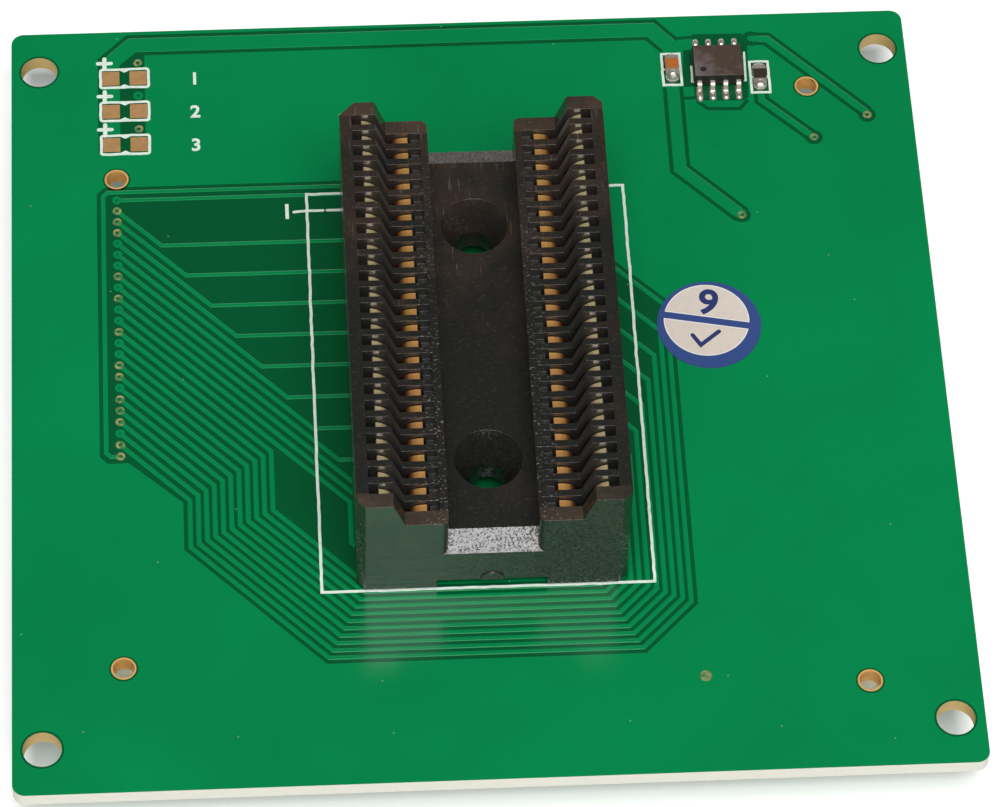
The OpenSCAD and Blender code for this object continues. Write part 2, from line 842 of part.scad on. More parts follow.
// Shrouded housing of a header, open at the bottom, with a key notch in its outer wall
module header_housing(count) {
    length = (count - 1) * header_pitch + 2 * header_end;
    roof = header_h - header_standoff;
    pad_d = header_end - header_pin_t;
    color("#d8ccb4")
    difference() {
        union() {
            translate([-header_w / 2, -length / 2, 0])
                cube([header_w, length, roof]);
            for (y = [-1, 1])
                translate([0, y * (length - pad_d) / 2, roof + header_standoff / 2])
                    cube([header_w / 2, pad_d, header_standoff], center = true);
        }
        translate([-header_w / 2 + header_wall, -length / 2 + header_wall, -over])
            cube([header_w - 2 * header_wall, length - 2 * header_wall, roof - header_base_t + over]);
        translate([header_w / 2 - header_wall / 2, 0, 0])
            cube([2 * header_wall, header_key_w, 2 * header_key_h], center = true);
        at_header_contacts(count)
            translate([0, 0, roof])
                cube([header_pin_t, header_pin_t, 2 * header_base_t + over], center = true);
    }
}

// Bent contacts of a header: an upright pin and a soldered foot that runs out under the base
module header_contacts(count) {
    foot_top = header_h - copper_t;
    foot_end = header_w / 2 + header_foot_reach - header_row_gap / 2;
    color("gold")
    at_header_contacts(count)
        along_y(header_pin_t)
            polygon([
                [-header_pin_t / 2, header_tip_depth],
                [header_pin_t / 2, header_tip_depth],
                [header_pin_t / 2, foot_top - header_foot_t],
                [foot_end, foot_top - header_foot_t],
                [foot_end, foot_top],
                [-header_pin_t / 2, foot_top]]);
}

// Tinned pads for the feet of one header
module header_foot_pads(count) {
    foot_end = header_w / 2 + header_foot_reach - header_row_gap / 2;
    pad_l = header_foot_reach + header_wall;
    at_header_contacts(count)
        translate([foot_end + pad_margin - pad_l / 2, 0, header_h - copper_t / 2])
            cube([pad_l, header_pin_t + 2 * pad_margin, copper_t], center = true);
}

module at_left_header() { translate([-header_x, left_header_y, 0]) mirror([1, 0, 0]) children(); }
module at_right_header() { translate([header_x, right_header_y, 0]) children(); }

module left_header_housing() { at_left_header() header_housing(left_header_count); }
module right_header_housing() { at_right_header() header_housing(right_header_count); }
module left_header_contacts() { at_left_header() header_contacts(left_header_count); }
module right_header_contacts() { at_right_header() header_contacts(right_header_count); }

// Tinned pads under the board for both headers
module header_pads() {
    color("lightgray") {
        at_left_header()
            header_foot_pads(left_header_count);
        at_right_header()
            header_foot_pads(right_header_count);
    }
}

board();
guide_barrels();
via_barrels();
led_pads();
test_pad();
socket_body();
left_contact_bases();
right_contact_bases();
left_outer_leaves();
left_inner_leaves();
right_outer_leaves();
right_inner_leaves();
contact_solder();
chip_body();
chip_legs_formed();
chip_pads();
capacitor_body();
capacitor_ends();
resistor_body();
resistor_film();
resistor_ends();
passive_solder();
inspection_sticker();
left_header_housing();
left_header_contacts();
right_header_housing();
right_header_contacts();
header_pads();
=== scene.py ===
"""Looks of an adapter board for programming chips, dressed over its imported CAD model.

The board gets its masked copper, plating and printed legend, the socket its moulded plastic
and plated springs, and the stage its floor, light and camera.
"""

import functools
import math
import random

import bmesh
import bpy
from mathutils import Matrix, Vector


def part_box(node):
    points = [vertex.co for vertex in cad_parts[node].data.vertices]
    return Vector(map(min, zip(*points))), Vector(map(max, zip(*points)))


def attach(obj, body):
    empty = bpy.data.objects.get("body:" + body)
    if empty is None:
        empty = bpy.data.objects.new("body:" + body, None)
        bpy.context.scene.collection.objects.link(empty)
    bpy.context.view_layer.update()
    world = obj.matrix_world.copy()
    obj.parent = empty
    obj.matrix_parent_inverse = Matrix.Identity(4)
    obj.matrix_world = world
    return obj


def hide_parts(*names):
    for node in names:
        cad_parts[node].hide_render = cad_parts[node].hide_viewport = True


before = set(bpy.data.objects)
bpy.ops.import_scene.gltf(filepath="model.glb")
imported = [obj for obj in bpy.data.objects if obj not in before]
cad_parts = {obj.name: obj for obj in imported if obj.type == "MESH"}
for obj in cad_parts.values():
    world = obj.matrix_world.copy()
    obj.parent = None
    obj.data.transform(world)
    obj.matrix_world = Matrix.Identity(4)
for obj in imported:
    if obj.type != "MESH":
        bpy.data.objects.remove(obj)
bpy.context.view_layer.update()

bl_info = {
    "name": "Chip Adapter Looks",
    "version": (1, 0, 0),
    "blender": (4, 5, 0),
    "location": "View3D > Sidebar > Adapter",
    "description": "Dresses the chip adapter board with its finishes and sets the stage",
    "category": "Object",
}

# Lengths below are in millimetres, and x and y run from the board's middle
MM = 0.001
BOARD_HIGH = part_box("board")[1] / MM
BOARD_TOP = BOARD_HIGH.z
STICKER_LOW, STICKER_HIGH = (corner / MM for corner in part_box("inspection_sticker"))

# Heights of the thin layers above the board's top face, the width of a trace's sloped edge, and the step
# that keeps crossing layers apart
SUNK = -0.02
LAYER_STEP = 0.001
GAP_TOP = 0.006
TRACE_TOP = 0.03
TRACE_EDGE = 0.09
LEGEND_TOP = 0.05
TENT_TOP = 0.065

# Column of vias and rows of contacts, as in the solids
VIA_X = -33.6
VIA_TOP_Y = 22.215
VIA_PITCH = 1.27
VIA_COUNT = 24
CONTACT_PITCH = 1.778
CONTACT_COUNT = 24
TAIL_X = 9.32

# Vias that the mask leaves bare, and radii of the ring and the hole in the mask over the others
BARE_VIAS = (2, 3, 4, 8, 10, 13, 16, 17, 19, 20, 21, 23, 24)
TENT_R = (0.45, 0.144)

# Traces of the upper vias meet the left contacts a little below their middles
FAN_LAST_VIA = 11
FAN_DROP = 0.12
STEP_VIA = 12
STEP_X = -12.6
STEP_LOW_Y = -17.2

# Lanes that run from the lower vias round the socket's front to the right contacts
LANE_COUNT = 11
LANE_FIRST_VIA = 23
LANE_PITCH = 0.762
LANE_DOWN_X = -27.31
LANE_BEND_Y = -17.14
LANE_BEND_STEP = 0.376
LANE_LEVEL_Y = -29.38
LANE_TURN = 42.76
LANE_TURN_STEP = 1.138
LANE_UP_X = 18.06

# Trace of the last via, which runs back up outside the column, and the bare field's reach past that via
BRACKET_X = -34.92
BRACKET_TOP_Y = 23.16
BRACKET_CUT = 0.44
FIELD_REACH = 0.75

# Wide strips cut out of the copper field: the path along the middle, then the strip's width
STRIPS = {
    "capacitor": (((20.57, 33.8), (20.57, 23.97), (26.1, 18.3)), 1.25),
    "resistor": (((29.1, 33.0), (29.1, 31.95), (33.8, 27.3)), 0.7),
    "chip": (((28.63, 39.5), (30.2, 39.4), (39.2, 30.1)), 0.8),
    "power": (((-34.03, 27.9), (-34.03, 38.75), (-31.95, 40.83), (18.85, 40.95), (20.6, 38.9)), 1.75),
}

# Single gaps in the copper field, and the patches of it that are left out; the last two patches, inside the
# outlines of the capacitor and the resistor, stand partly for pads and are partly painted shade round those
# parts
GAP_LINES = (
    ((21.35, 32.45), (22.6, 32.45)),
    ((22.88, 31.95), (23.8, 31.11), (26.91, 31.0), (27.66, 31.89)),
    ((21.5, 39.8), (22.85, 39.87)),
)
BARE_AND_SHADE_PATCHES = (
    ((-33.15, 28.0), (-30.74, 28.0), (-30.74, 39.78), (-31.73, 39.84), (-33.15, 38.2)),
    ((21.88, 38.28), (22.77, 38.31), (22.91, 40.22), (27.73, 40.17), (28.26, 39.35), (27.85, 32.37),
     (27.37, 31.97), (22.8, 32.13), (22.55, 32.69), (22.63, 33.81), (21.56, 33.84)),
    ((19.75, 34.15), (21.42, 34.15), (21.42, 37.82), (19.75, 37.82)),
    ((28.3, 32.95), (29.98, 32.95), (29.98, 36.6), (28.3, 36.6)),
)

# Round gaps in the copper field: middle and radius round single vias; then middle, outer and inner radius of
# the thin dark rings round the guide holes and the corner holes
ROUND_GAPS = (((33.8, 27.3), 0.85), ((39.2, 29.8), 0.85), ((26.1, 18.3), 0.85), ((28.63, 39.5), 0.9))
GUIDE_HOLES = ((-33.6, 24.675), (-33.6, -29.775), (33.6, 33.475), (33.6, -33.675))
GUIDE_RING_R = (1.32, 1.1)
CORNER_HOLES = [(x * 40.95, y * 37.85) for x in (-1, 1) for y in (-1, 1)]
CORNER_RING_R = (1.95, 1.77)

# Small vias that the mask covers, with the radii of the ring and the hole in it
SMALL_VIAS = ((20.5, 39.01), (21.85, 38.64), (20.58, 33.29), (28.63, 39.5), (24.2, 26.87))
SMALL_VIA_R = (0.34, 0.1)

# Footprints of the three lights, with the pads as in the solids and a covered via beside the second
LIGHT_X = -32.7
LIGHT_TOP_Y = 36.8
LIGHT_PITCH = 4.0
LIGHT_COUNT = 3
LIGHT_PAD = (1.66, 1.66)
LIGHT_PAD_X = 1.32
LIGHT_PAD_GAP = 0.27
LIGHT_VIA = (1.32, 1.85)
LIGHT_VIA_R = (0.5, 0.16)

# Printed outlines round the socket (middle and size), round the capacitor and the resistor (low and high
# corner, pinched in at the sides) and round the lights, with a notch in the sides of each
SOCKET_BOX = ((-0.3, -0.1), (30.4, 44.7))
PART_BOXES = (((19.7, 34.08), (21.47, 37.88)), ((28.25, 32.88), (30.03, 36.65)))
PART_BOX_PINCH = 0.12
PART_BOX_LINE = 0.25
LIGHT_BOX = (4.65, 2.2)
LIGHT_BOX_R = 0.22
LIGHT_NOTCH = (0.45, 0.25)

# Printed strokes: beside the first contact, beside the chip, and the bars of the plus signs by the lights
CONTACT_STROKES = (((-16.73, 20.25), (-13.96, 20.31)), ((-13.58, 20.32), (-12.0, 20.33)))
CHIP_STROKES = (((22.55, 36.3), (22.5, 34.4), (22.85, 34.36)), ((27.84, 37.8), (27.72, 34.4), (27.15, 34.36)))
CHIP_STROKE_LINE = 0.22
PLUS_TOP = (-34.62, 38.66)
PLUS_BARS = (((-0.62, 0.0), (0.62, 0.0)), ((0.0, -0.72), (0.0, 0.56)))
PLUS_LINE = 0.4

# Printed lines stray a little every short step, by draws from a fixed seed
STRAY_STEP = 0.7
STRAY = 0.018
STRAY_SEED = 7

# Printed figures: size and place of the lights' first one and of the first contact's, and their added weight
LIGHT_FIGURE_SIZE = 2.0
LIGHT_FIGURE = (-25.9, 36.47)
CONTACT_FIGURE_SIZE = 2.4
CONTACT_FIGURE = (-17.4, 20.2)
FIGURE_WEIGHT = 0.05

# Print of the sticker: its disc, off the sticker's middle, the half width and turn of the bar across it, the
# line of bare paper along the ink, and the figure and the tick as raised ink
PRINT_OFF = (-0.2, 0.5, 0.0)
PRINT_R = 4.05
PRINT_BAR = 0.37
PRINT_LEAN = math.radians(-11.0)
PRINT_RIM = 0.1
PRINT_TOP = 0.012
PRINT_SUNK = -0.01
STICKER_FIGURE = (-0.1, 2.25)
STICKER_FIGURE_SIZE = 3.9
STICKER_FIGURE_WEIGHT = 0.1
TICK = ((-1.1, -1.9), (-0.2, -2.9), (1.3, -1.1))
TICK_LINE = 0.42

# Area of the socket's slots: its reach along the socket, then its middle and half width on either side
SLOTS_Y = 21.1
SLOTS_X = (7.8, 3.45)

# Marks on the socket, each with its middle and half width: pale spots on the slots' walls that are a painted
# reflection of the outer springs, then marks of use on the shelves where packages lie and on the end walls
REFLECTION_X = (9.95, 0.2)
REFLECTION_Z = (21.5, 0.18)
SHELF_X = (5.0, 0.95)
SHELF_Z = (18.6, 0.06)
END_X = (7.8, 4.4)

# Stretches along which the socket gets browner, loses its fibre ends and its glitter, and the stretch across
# its front wall along which the film of flux ends
BROWN_Y = (-6.0, 14.0)
FIBRES_Y = (-4.0, 18.0)
GLITTER_Y = (-18.0, 6.0)
FILM_X = (-6.0, 5.0)

# Heights between which the springs go from legs painted dark, as painted shade deep in the slots, to bright
# tips
OUTER_TIP_Z = (20.0, 20.65)
INNER_TIP_Z = (17.5, 18.12)

# Solder on the chip's feet: the feet's places, then each fillet's place, half size and height
CHIP_FEET_X = [25.03 + 1.27 * (i - 1.5) for i in range(4)]
FIRST_FILLET = (32.74, (0.36, 0.8), 0.44)
FRONT_FILLET = (32.62, (0.31, 0.52), 0.27)
REAR_FILLET = (39.02, (0.34, 0.52), 0.4)

# Dimple of the chip, painted dark as shade: its distance from the sides, and the radii between which the
# painted shade fades
DIMPLE_IN = 0.95
DIMPLE_R = (0.24, 0.36)

# Solder at the ends of the capacitor and the resistor: place of each part and heights of its front and rear
# mound, the ends' distance from the middle, and half sizes of the mounds
PARTS = ((20.6, 36.0, 1.1, 0.9), (29.1, 34.8, 0.65, 0.495))
PART_END = 1.02
FRONT_MOUND = (0.66, 0.62)
REAR_MOUND = (0.66, 0.55)
PART_ROUNDING = 0.1

# Stage: the floor's drop below the headers, the shift of the shaded floor, the lamp's size and place in
# metres, the direction of the bright sky, and the point that the camera looks at
WHITE = (1.0, 1.0, 1.0, 1.0)
FLOOR_DROP = 0.1
SHADE_SHIFT = (0.0, 2.5 * MM, 0.0)
LAMP_SIZE = (0.6, 0.5)
LAMP_PLACE = (0.03, -0.32, 0.87)
SKY_TOWARD = (0.0, -0.8, 0.6)
SENSOR_WIDTH = 36.0
TARGET = (1.782, -2.44, BOARD_TOP)


def linear(code):
    """Linear colour, fully opaque, of an sRGB hex code."""
    shares = [int(code[i:i + 2], 16) / 255.0 for i in (0, 2, 4)]
    bent = [s / 12.92 if s <= 0.04045 else ((s + 0.055) / 1.055) ** 2.4 for s in shares]
    return (*bent, 1.0)


def colour_prop(name, description, code):
    """A colour that a user can change, given as an sRGB hex code."""
    return bpy.props.FloatVectorProperty(
        name=name, description=description, default=linear(code),
        size=4, min=0.0, max=1.0, subtype="COLOR")


def number_prop(name, description, default, **kind):
    """A number that a user can change."""
    return bpy.props.FloatProperty(name=name, description=description, default=default, **kind)


def length_prop(name, description, millimetres):
    """A length that a user can change, given in millimetres and kept in metres."""
    return number_prop(
        name, description, millimetres * MM, min=0.0, precision=5, subtype="DISTANCE", unit="LENGTH")


def angle_prop(name, description, degrees):
    """An angle that a user can change, given in degrees and kept in radians."""
    return number_prop(name, description, math.radians(degrees), subtype="ANGLE")


class BoardLook(bpy.types.PropertyGroup):
    """Finish of the circuit board."""

    mask: colour_prop("Mask on copper", "Solder mask where copper lies beneath it", "00854A")
    mask_bare: colour_prop("Mask on laminate", "Solder mask where no copper lies beneath it", "00572F")
    dust: colour_prop("Dust", "Pale specks of dust on the mask", "B9D8C4")
    edge: colour_prop("Outer edge", "Sawn outer edge of the glass cloth and resin", "ECEBDE")
    drilled: colour_prop("Drilled walls", "Walls of the bare holes in the laminate", "D2B678")
    barrel: colour_prop("Guide holes", "Plated copper walls of the guide holes", "E8B468")
    ring: colour_prop("Via rings", "Copper rings with a thin, greenish coat", "CCC084")
    pad: colour_prop("Bare pads", "Copper pads under a clear coat", "C99A64")
    legend: colour_prop("Legend", "Printed ink of the legend", "E6F4E8")
    trace_width: length_prop("Trace width", "Width of a signal trace", 0.44)
    gap_width: length_prop("Gap width", "Width of the bare line beside a copper strip", 0.38)
    line_width: length_prop("Legend line", "Width of a printed legend line", 0.27)


class SocketLook(bpy.types.PropertyGroup):
    """Finish of the socket and its springs."""

    plastic: colour_prop("Plastic", "Moulded socket body", "21211E")
    smear: colour_prop("Worn plastic", "Browner, handled parts of the socket body", "352B24")
    worn_end: colour_prop("Worn ends", "Handled tops of the socket body's end walls", "645242")
    # This colour paints real scuffs, and also the painted reflection of the outer springs on the slots' walls
    scuff_and_reflection: colour_prop("Scuffs and reflections", "Pale rubbed spots of the socket body", "B4AB9C")
    fibre: colour_prop("Fibre ends", "Ends of glass fibres in the socket body's skin", "B8BAB4")
    outer_spring: colour_prop("Outer springs", "Plated outer leaves", "F2DEAC")
    inner_spring: colour_prop("Inner springs", "Plated inner leaves", "FFC070")
    # The next two colours are painted shade on the springs' legs and bases, deep in the slots
    tarnish_and_shade: colour_prop("Tarnish and shade", "Dark legs of the leaves below their tips", "201812")
    shade_belt: colour_prop("Shade belt", "Red-brown belt between the leaves' legs and tips", "6E3C1C")
    edge_round: length_prop("Edge rounding", "Radius of the plastic's moulded edges", 0.05)


class PartsLook(bpy.types.PropertyGroup):
    """Finish of the small parts and the sticker."""

    chip: colour_prop("Chip", "Moulded body of the control chip", "45352B")
    # Painted shade: the colour of the chip's sides and its dimple
    chip_side_shade: colour_prop("Chip sides", "Sides and dimple of the control chip", "16130F")
    bloom: colour_prop("Bloom", "Grey film that flux left on the chip", "746A6C")
    chip_round: length_prop("Chip rounding", "Radius of the control chip's moulded edges", 0.09)
    tin: colour_prop("Tin", "Tin-plated metal", "D2C6BA")
    solder: colour_prop("Solder", "Reflowed solder", "DED4CA")
    capacitor: colour_prop("Capacitor", "Fired ceramic of the capacitor", "B8621E")
    resistor: colour_prop("Resistor", "Fired ceramic of the resistor", "E4E0D6")
    film: colour_prop("Film", "Glazed film on the resistor", "3A3028")
    sticker_paper: colour_prop("Sticker paper", "Unprinted paper of the sticker", "F0ECE8")
    sticker_tint: colour_prop("Sticker tint", "Tint printed on the sticker's two halves", "DDD1C5")
    sticker_ink: colour_prop("Sticker ink", "Printed ring and bar of the sticker", "304A86")
    figure_ink: colour_prop("Figure ink", "Printed figure and tick of the sticker", "26346E")
    header: colour_prop("Header", "Moulded housings under the board", "F0E6D0")


class StageLook(bpy.types.PropertyGroup):
    """Floor, light and camera."""

    floor: colour_prop("Floor", "Pale paper under the board", "EDEDEB")
    floor_size: length_prop("Floor size", "Side of the square floor", 6000.0)
    key_power: number_prop("Key light", "Power of the soft lamp overhead", 6.0, min=0.0, unit="POWER")
    sky_front: number_prop("Front sky", "Brightness of the sky over the board's front", 0.9, min=0.0)
    sky_back: number_prop("Back sky", "Brightness of the sky behind the board", 0.05, min=0.0)
    rear_glow: number_prop("Rear glow", "Brightness of the low, soft glow behind the board", 1.3, min=0.0)
    lens: number_prop("Lens", "Focal length of the camera", 184.49, min=1.0, unit="CAMERA")
    elevation: angle_prop("Elevation", "Angle of the view above the floor", 56.406)
    azimuth: angle_prop("Azimuth", "Angle of the view to the left of the board's front", 4.955)
    roll: angle_prop("Roll", "Turn of the camera about its own axis", 2.302)
    distance: length_prop("Distance", "Camera to the point it looks at", 478.138)


def add_node(tree, kind, inputs=(), **settings):
    """Adds a shader node with its settings, then gives its inputs, by name or in order, a value or a link."""
    # In order, a map range takes its value, the two ends it maps from and the two ends it maps to, and a mix
    # takes the share of its second colour, then both colours
    made = tree.nodes.new("ShaderNode" + kind)
    for name, value in settings.items():
        setattr(made, name, value)
    if isinstance(inputs, dict):
        filled = [(made.inputs[name], value) for name, value in inputs.items()]
    else:
        filled = zip([socket for socket in made.inputs if socket.enabled], inputs)
    for socket, value in filled:
        if isinstance(value, bpy.types.Node):
            value = next(output for output in value.outputs if output.enabled)
        if isinstance(value, bpy.types.NodeSocket):
            tree.links.new(value, socket)
        else:
            socket.default_value = value
    return made


def new_material(name):
    """A material with an empty node tree, what adds nodes to it, and the place that patterns start from."""
    material = bpy.data.materials.new(name)
    material.use_nodes = True
    material.node_tree.nodes.clear()
    add = functools.partial(add_node, material.node_tree)
    return material, add, add("TexCoord").outputs["Object"]


def show_surface(add, inputs):
    """Ends a node tree with the surface that it describes."""
    add("OutputMaterial", {"Surface": add("BsdfPrincipled", inputs)})


def metres(*lengths):
    """Lengths in metres, given in millimetres."""
    return [length * MM for length in lengths]


def per_mm(size):
    """Scale of a pattern whose features are this many millimetres across."""
    return 1.0 / (size * MM)


def wave_scale(spacing):
    """Scale of a wave pattern whose bands are this many millimetres apart."""
    return 2.0 * math.pi / (20.0 * spacing * MM)


def facing_axes(add):
    """The way that a surface faces, as shares along x, y and z."""
    return add("SeparateXYZ", (add("TexCoord").outputs["Normal"],)).outputs


def edge_share(add, place):
    """How far out a point lies as a share of the board's half size: 1 at the outer edges."""
    away = add("VectorMath", (place,), operation="ABSOLUTE")
    half = (*metres(BOARD_HIGH.x, BOARD_HIGH.y), 1.0)
    axes = add("SeparateXYZ", (add("VectorMath", (away, half), operation="DIVIDE"),)).outputs
    return add("Math", (axes["X"], axes["Y"]), operation="MAXIMUM")


def band(add, value, middle, half, soft, share=1.0):
    """A share where a value lies within half a width of a middle, falling to 0 over a soft edge."""
    off = add("Math", (value, middle), operation="SUBTRACT")
    away = add("Math", (off,), operation="ABSOLUTE")
    return add("MapRange", (away, half, half + soft, share, 0.0))


def mottled(add, place, colour, size, detail, shades, spread=(0.3, 0.7)):
    """A colour that drifts between two shades in clouds of a size in millimetres, and those clouds."""
    clouds = add("TexNoise", {"Vector": place, "Scale": per_mm(size), "Detail": detail})
    shade = add("MapRange", (clouds, *spread, *shades))
    return add("HueSaturation", {"Color": colour, "Value": shade}), clouds


def overlay(add, under, over, value, spread, share=1.0):
    """Lays one colour over another: none where a value is at a spread's start, a share at its end."""
    cover = add("MapRange", (value, *spread, 0.0, share))
    return add("Mix", (cover, under, over), data_type="RGBA")


def grain(add, place, size, strength, depth, normal=None):
    """Pits of a size and depth in millimetres that are felt in the shine, on a normal where one is given."""
    pits = add("TexNoise", {"Vector": place, "Scale": per_mm(size), "Detail": 2.0})
    inputs = {"Height": pits, "Strength": strength, "Distance": depth * MM}
    if normal is not None:
        inputs["Normal"] = normal
    return add("Bump", inputs)


def solder_mask(name, look, colour, cut=False):
    """Photo-imaged epoxy mask, and where asked for the cut laminate on the sides."""
    # The mask cures to an even half-gloss skin: the cloth below is only just felt in the shine,
    # and dust shows as a few pale specks
    material, add, place = new_material(name)
    tinted = mottled(add, place, colour, size=14.0, detail=2.0, shades=(0.94, 1.06))[0]
    specks = add("TexVoronoi", {"Vector": place, "Scale": per_mm(17.0)}, voronoi_dimensions="2D")
    top = overlay(add, tinted, look.dust, specks, (0.006, 0.003), share=0.3)
    threads = [
        add("TexWave", {"Vector": place, "Scale": wave_scale(0.5), "Distortion": 0.6},
            wave_type="BANDS", bands_direction=axis).outputs["Fac"]
        for axis in ("X", "Y")]
    weave = add("Math", threads, operation="MULTIPLY")
    felt = add("Bump", {"Height": weave, "Strength": 0.12, "Distance": 0.02 * MM})
    finish = {"Base Color": top, "Roughness": 0.2, "IOR": 1.5, "Normal": felt}
    if cut:
        # The sawn and drilled sides are dull, with faint lines where the plies of cloth end
        level = add("Math", (facing_axes(add)["Z"],), operation="ABSOLUTE")
        plies = add("TexWave", {"Vector": place, "Scale": wave_scale(0.2), "Distortion": 1.5},
                    wave_type="BANDS", bands_direction="Z")
        ply = add("MapRange", {"Value": plies.outputs["Fac"], "To Min": 0.82, "To Max": 1.08})
        outer = add("Math", (edge_share(add, place), 0.985), operation="GREATER_THAN")
        wall = add("Mix", (outer, look.drilled, look.edge), data_type="RGBA")
        side = add("HueSaturation", {"Color": wall, "Value": ply})
        finish["Base Color"] = overlay(add, top, side, level, (0.6, 0.4))
        finish["Roughness"] = add("MapRange", (level, 0.6, 0.4, 0.2, 0.65))
    show_surface(add, finish)
    return material


def legend_ink(colour):
    """Screen-printed epoxy ink."""
    # The ink dries chalky, and a little mask shows through where it went on thin
    material, add, place = new_material("Screen-printed epoxy ink")
    ink = mottled(add, place, colour, size=0.5, detail=2.0, shades=(0.86, 1.03))[0]
    show_surface(add, {"Base Color": ink, "Roughness": 0.6, "IOR": 1.5})
    return material


def coated_copper(name, colour, shine, veil=None):
    """Rolled copper under its thin clear coat, which lets through a share of the metal's shine."""
    # The coat dulls the copper to an even tan, with darker clouds where it has tarnished, and mask that
    # crept over it leaves a green veil
    material, add, place = new_material(name)
    tone, tarnish_and_shade = mottled(add, place, colour, size=0.8, detail=4.0, shades=(0.85, 1.08))
    gloss = add("MapRange", {"Value": tarnish_and_shade, "To Min": 0.55, "To Max": 0.4})
    if veil is not None:
        creep = add("TexNoise", {"Vector": place, "Scale": per_mm(0.6), "Detail": 2.0})
        cover = add("MapRange", (creep, 0.4, 0.6, 0.15, 0.85))
        tone = add("Mix", (cover, tone, veil), data_type="RGBA")
    show_surface(add, {"Base Color": tone, "Metallic": shine, "Roughness": gloss})
    return material


def socket_plastic(look):
    """Injection-moulded plastic filled with glass fibre."""
    material, add, place = new_material("Moulded glass-filled plastic")
    axes = add("SeparateXYZ", (place,)).outputs
    facing = facing_axes(add)
    aside = add("Math", (axes["X"],), operation="ABSOLUTE")
    along = add("Math", (axes["Y"],), operation="ABSOLUTE")
    inside = band(add, axes["Y"], *metres(0.0, SLOTS_Y, 0.1))

    # The skin is a glossy black, browner and finely scratched towards the back where it was handled
    handled = add("TexNoise", {"Vector": place, "Scale": per_mm(5.0), "Detail": 5.0})
    rearward = add("MapRange", (axes["Y"], *metres(*BROWN_Y), -0.1, 0.14))
    wear = add("Math", (handled, rearward), operation="ADD")
    skin = overlay(add, look.plastic, look.smear, wear, (0.45, 0.75))
    lengthwise = add("Mapping", {"Vector": place, "Scale": (1.0, 0.05, 1.0)})
    strokes = add("TexNoise", {"Vector": lengthwise, "Scale": per_mm(0.16), "Detail": 2.0})
    faint = add("MapRange", (wear, 0.5, 0.7, 0.0, 0.2))
    skin = overlay(add, skin, look.scuff_and_reflection, strokes, (0.64, 0.74), faint)

    # The tops of the end walls are worn in patches
    patchy = add("MapRange", (handled, 0.35, 0.65, 0.1, 0.4))
    ends = add("MapRange", (along, *metres(SLOTS_Y - 0.3, SLOTS_Y), 0.0, patchy))
    end_walls = band(add, aside, *metres(*END_X, 0.1), ends)
    skin = overlay(add, skin, look.worn_end, facing["Z"], (0.7, 0.9), end_walls)

    # Ends of fibres are pale points, most of them on the front of the shelves
    forward = add("MapRange", (axes["Y"], *metres(*FIBRES_Y), patchy, 0.05))
    level = band(add, axes["Z"], *metres(*SHELF_Z, 0.1), forward)
    on_shelf = band(add, aside, *metres(*SHELF_X, 0.2), level)
    share = add("Math", (on_shelf, 0.03), operation="ADD")
    crosswise = add("Mapping", {"Vector": place, "Scale": (0.55, 1.0, 1.0)})
    fibres = add("TexNoise", {"Vector": crosswise, "Scale": per_mm(0.2), "Detail": 1.0})
    skin = overlay(add, skin, look.fibre, fibres, (0.6, 0.72), share)

    # The slots' walls are matt, and their front-facing sides carry pale spots above the outer springs, a
    # painted reflection of the springs
    reflection_clouds = add("TexNoise", {"Vector": place, "Scale": per_mm(0.5), "Detail": 3.0})
    rubbed = add("MapRange", (reflection_clouds, 0.3, 0.55, 0.0, inside))
    near_top = band(add, axes["Z"], *metres(*REFLECTION_Z, 0.06), rubbed)
    above_spring = band(add, aside, *metres(*REFLECTION_X, 0.12), near_top)
    skin = overlay(add, skin, look.scuff_and_reflection, facing["Y"], (-0.4, -0.6), above_spring)
    in_slots = band(add, aside, *metres(*SLOTS_X, 0.1), inside)
    steep = add("MapRange", (facing["Z"], 0.6, 0.8, in_slots, 0.0))
    gloss = add("MapRange", {"Value": steep, "To Min": 0.2, "To Max": 0.55})

    # A film of flux on one side of the front wall mirrors the board
    outside = add("MapRange", (axes["Y"], *metres(-SLOTS_Y, 0.3 - SLOTS_Y), 1.0, 0.0))
    one_side = add("MapRange", (axes["X"], *metres(*FILM_X), outside, 0.0))
    film = add("MapRange", (facing["Y"], -0.98, -0.9, one_side, 0.0))

    # Fibres under the skin tip it this way and that, so its front, which isn't worn smooth, glitters where it
    # mirrors a light; they are drawn coarser than they are, to show
    rounded = add("Bevel", {"Radius": look.edge_round}, samples=6)
    tilts = add("TexVoronoi", {"Vector": place, "Scale": per_mm(0.13)}).outputs["Color"]
    spread = add("VectorMath", (tilts, (0.5, 0.5, 0.5)), operation="SUBTRACT")
    smooth = add("MapRange", (axes["Y"], *metres(*GLITTER_Y), 0.34, 0.04))
    lean = add("VectorMath", (spread, smooth), operation="SCALE")
    tipped = add("VectorMath", (rounded, lean), operation="ADD")
    glitter = add("VectorMath", (tipped,), operation="NORMALIZE")
    show_surface(add, {
        "Base Color": skin, "Roughness": gloss, "IOR": 1.75, "Normal": glitter,
        "Coat Weight": film, "Coat Roughness": 0.12, "Coat IOR": 1.7})
    return material


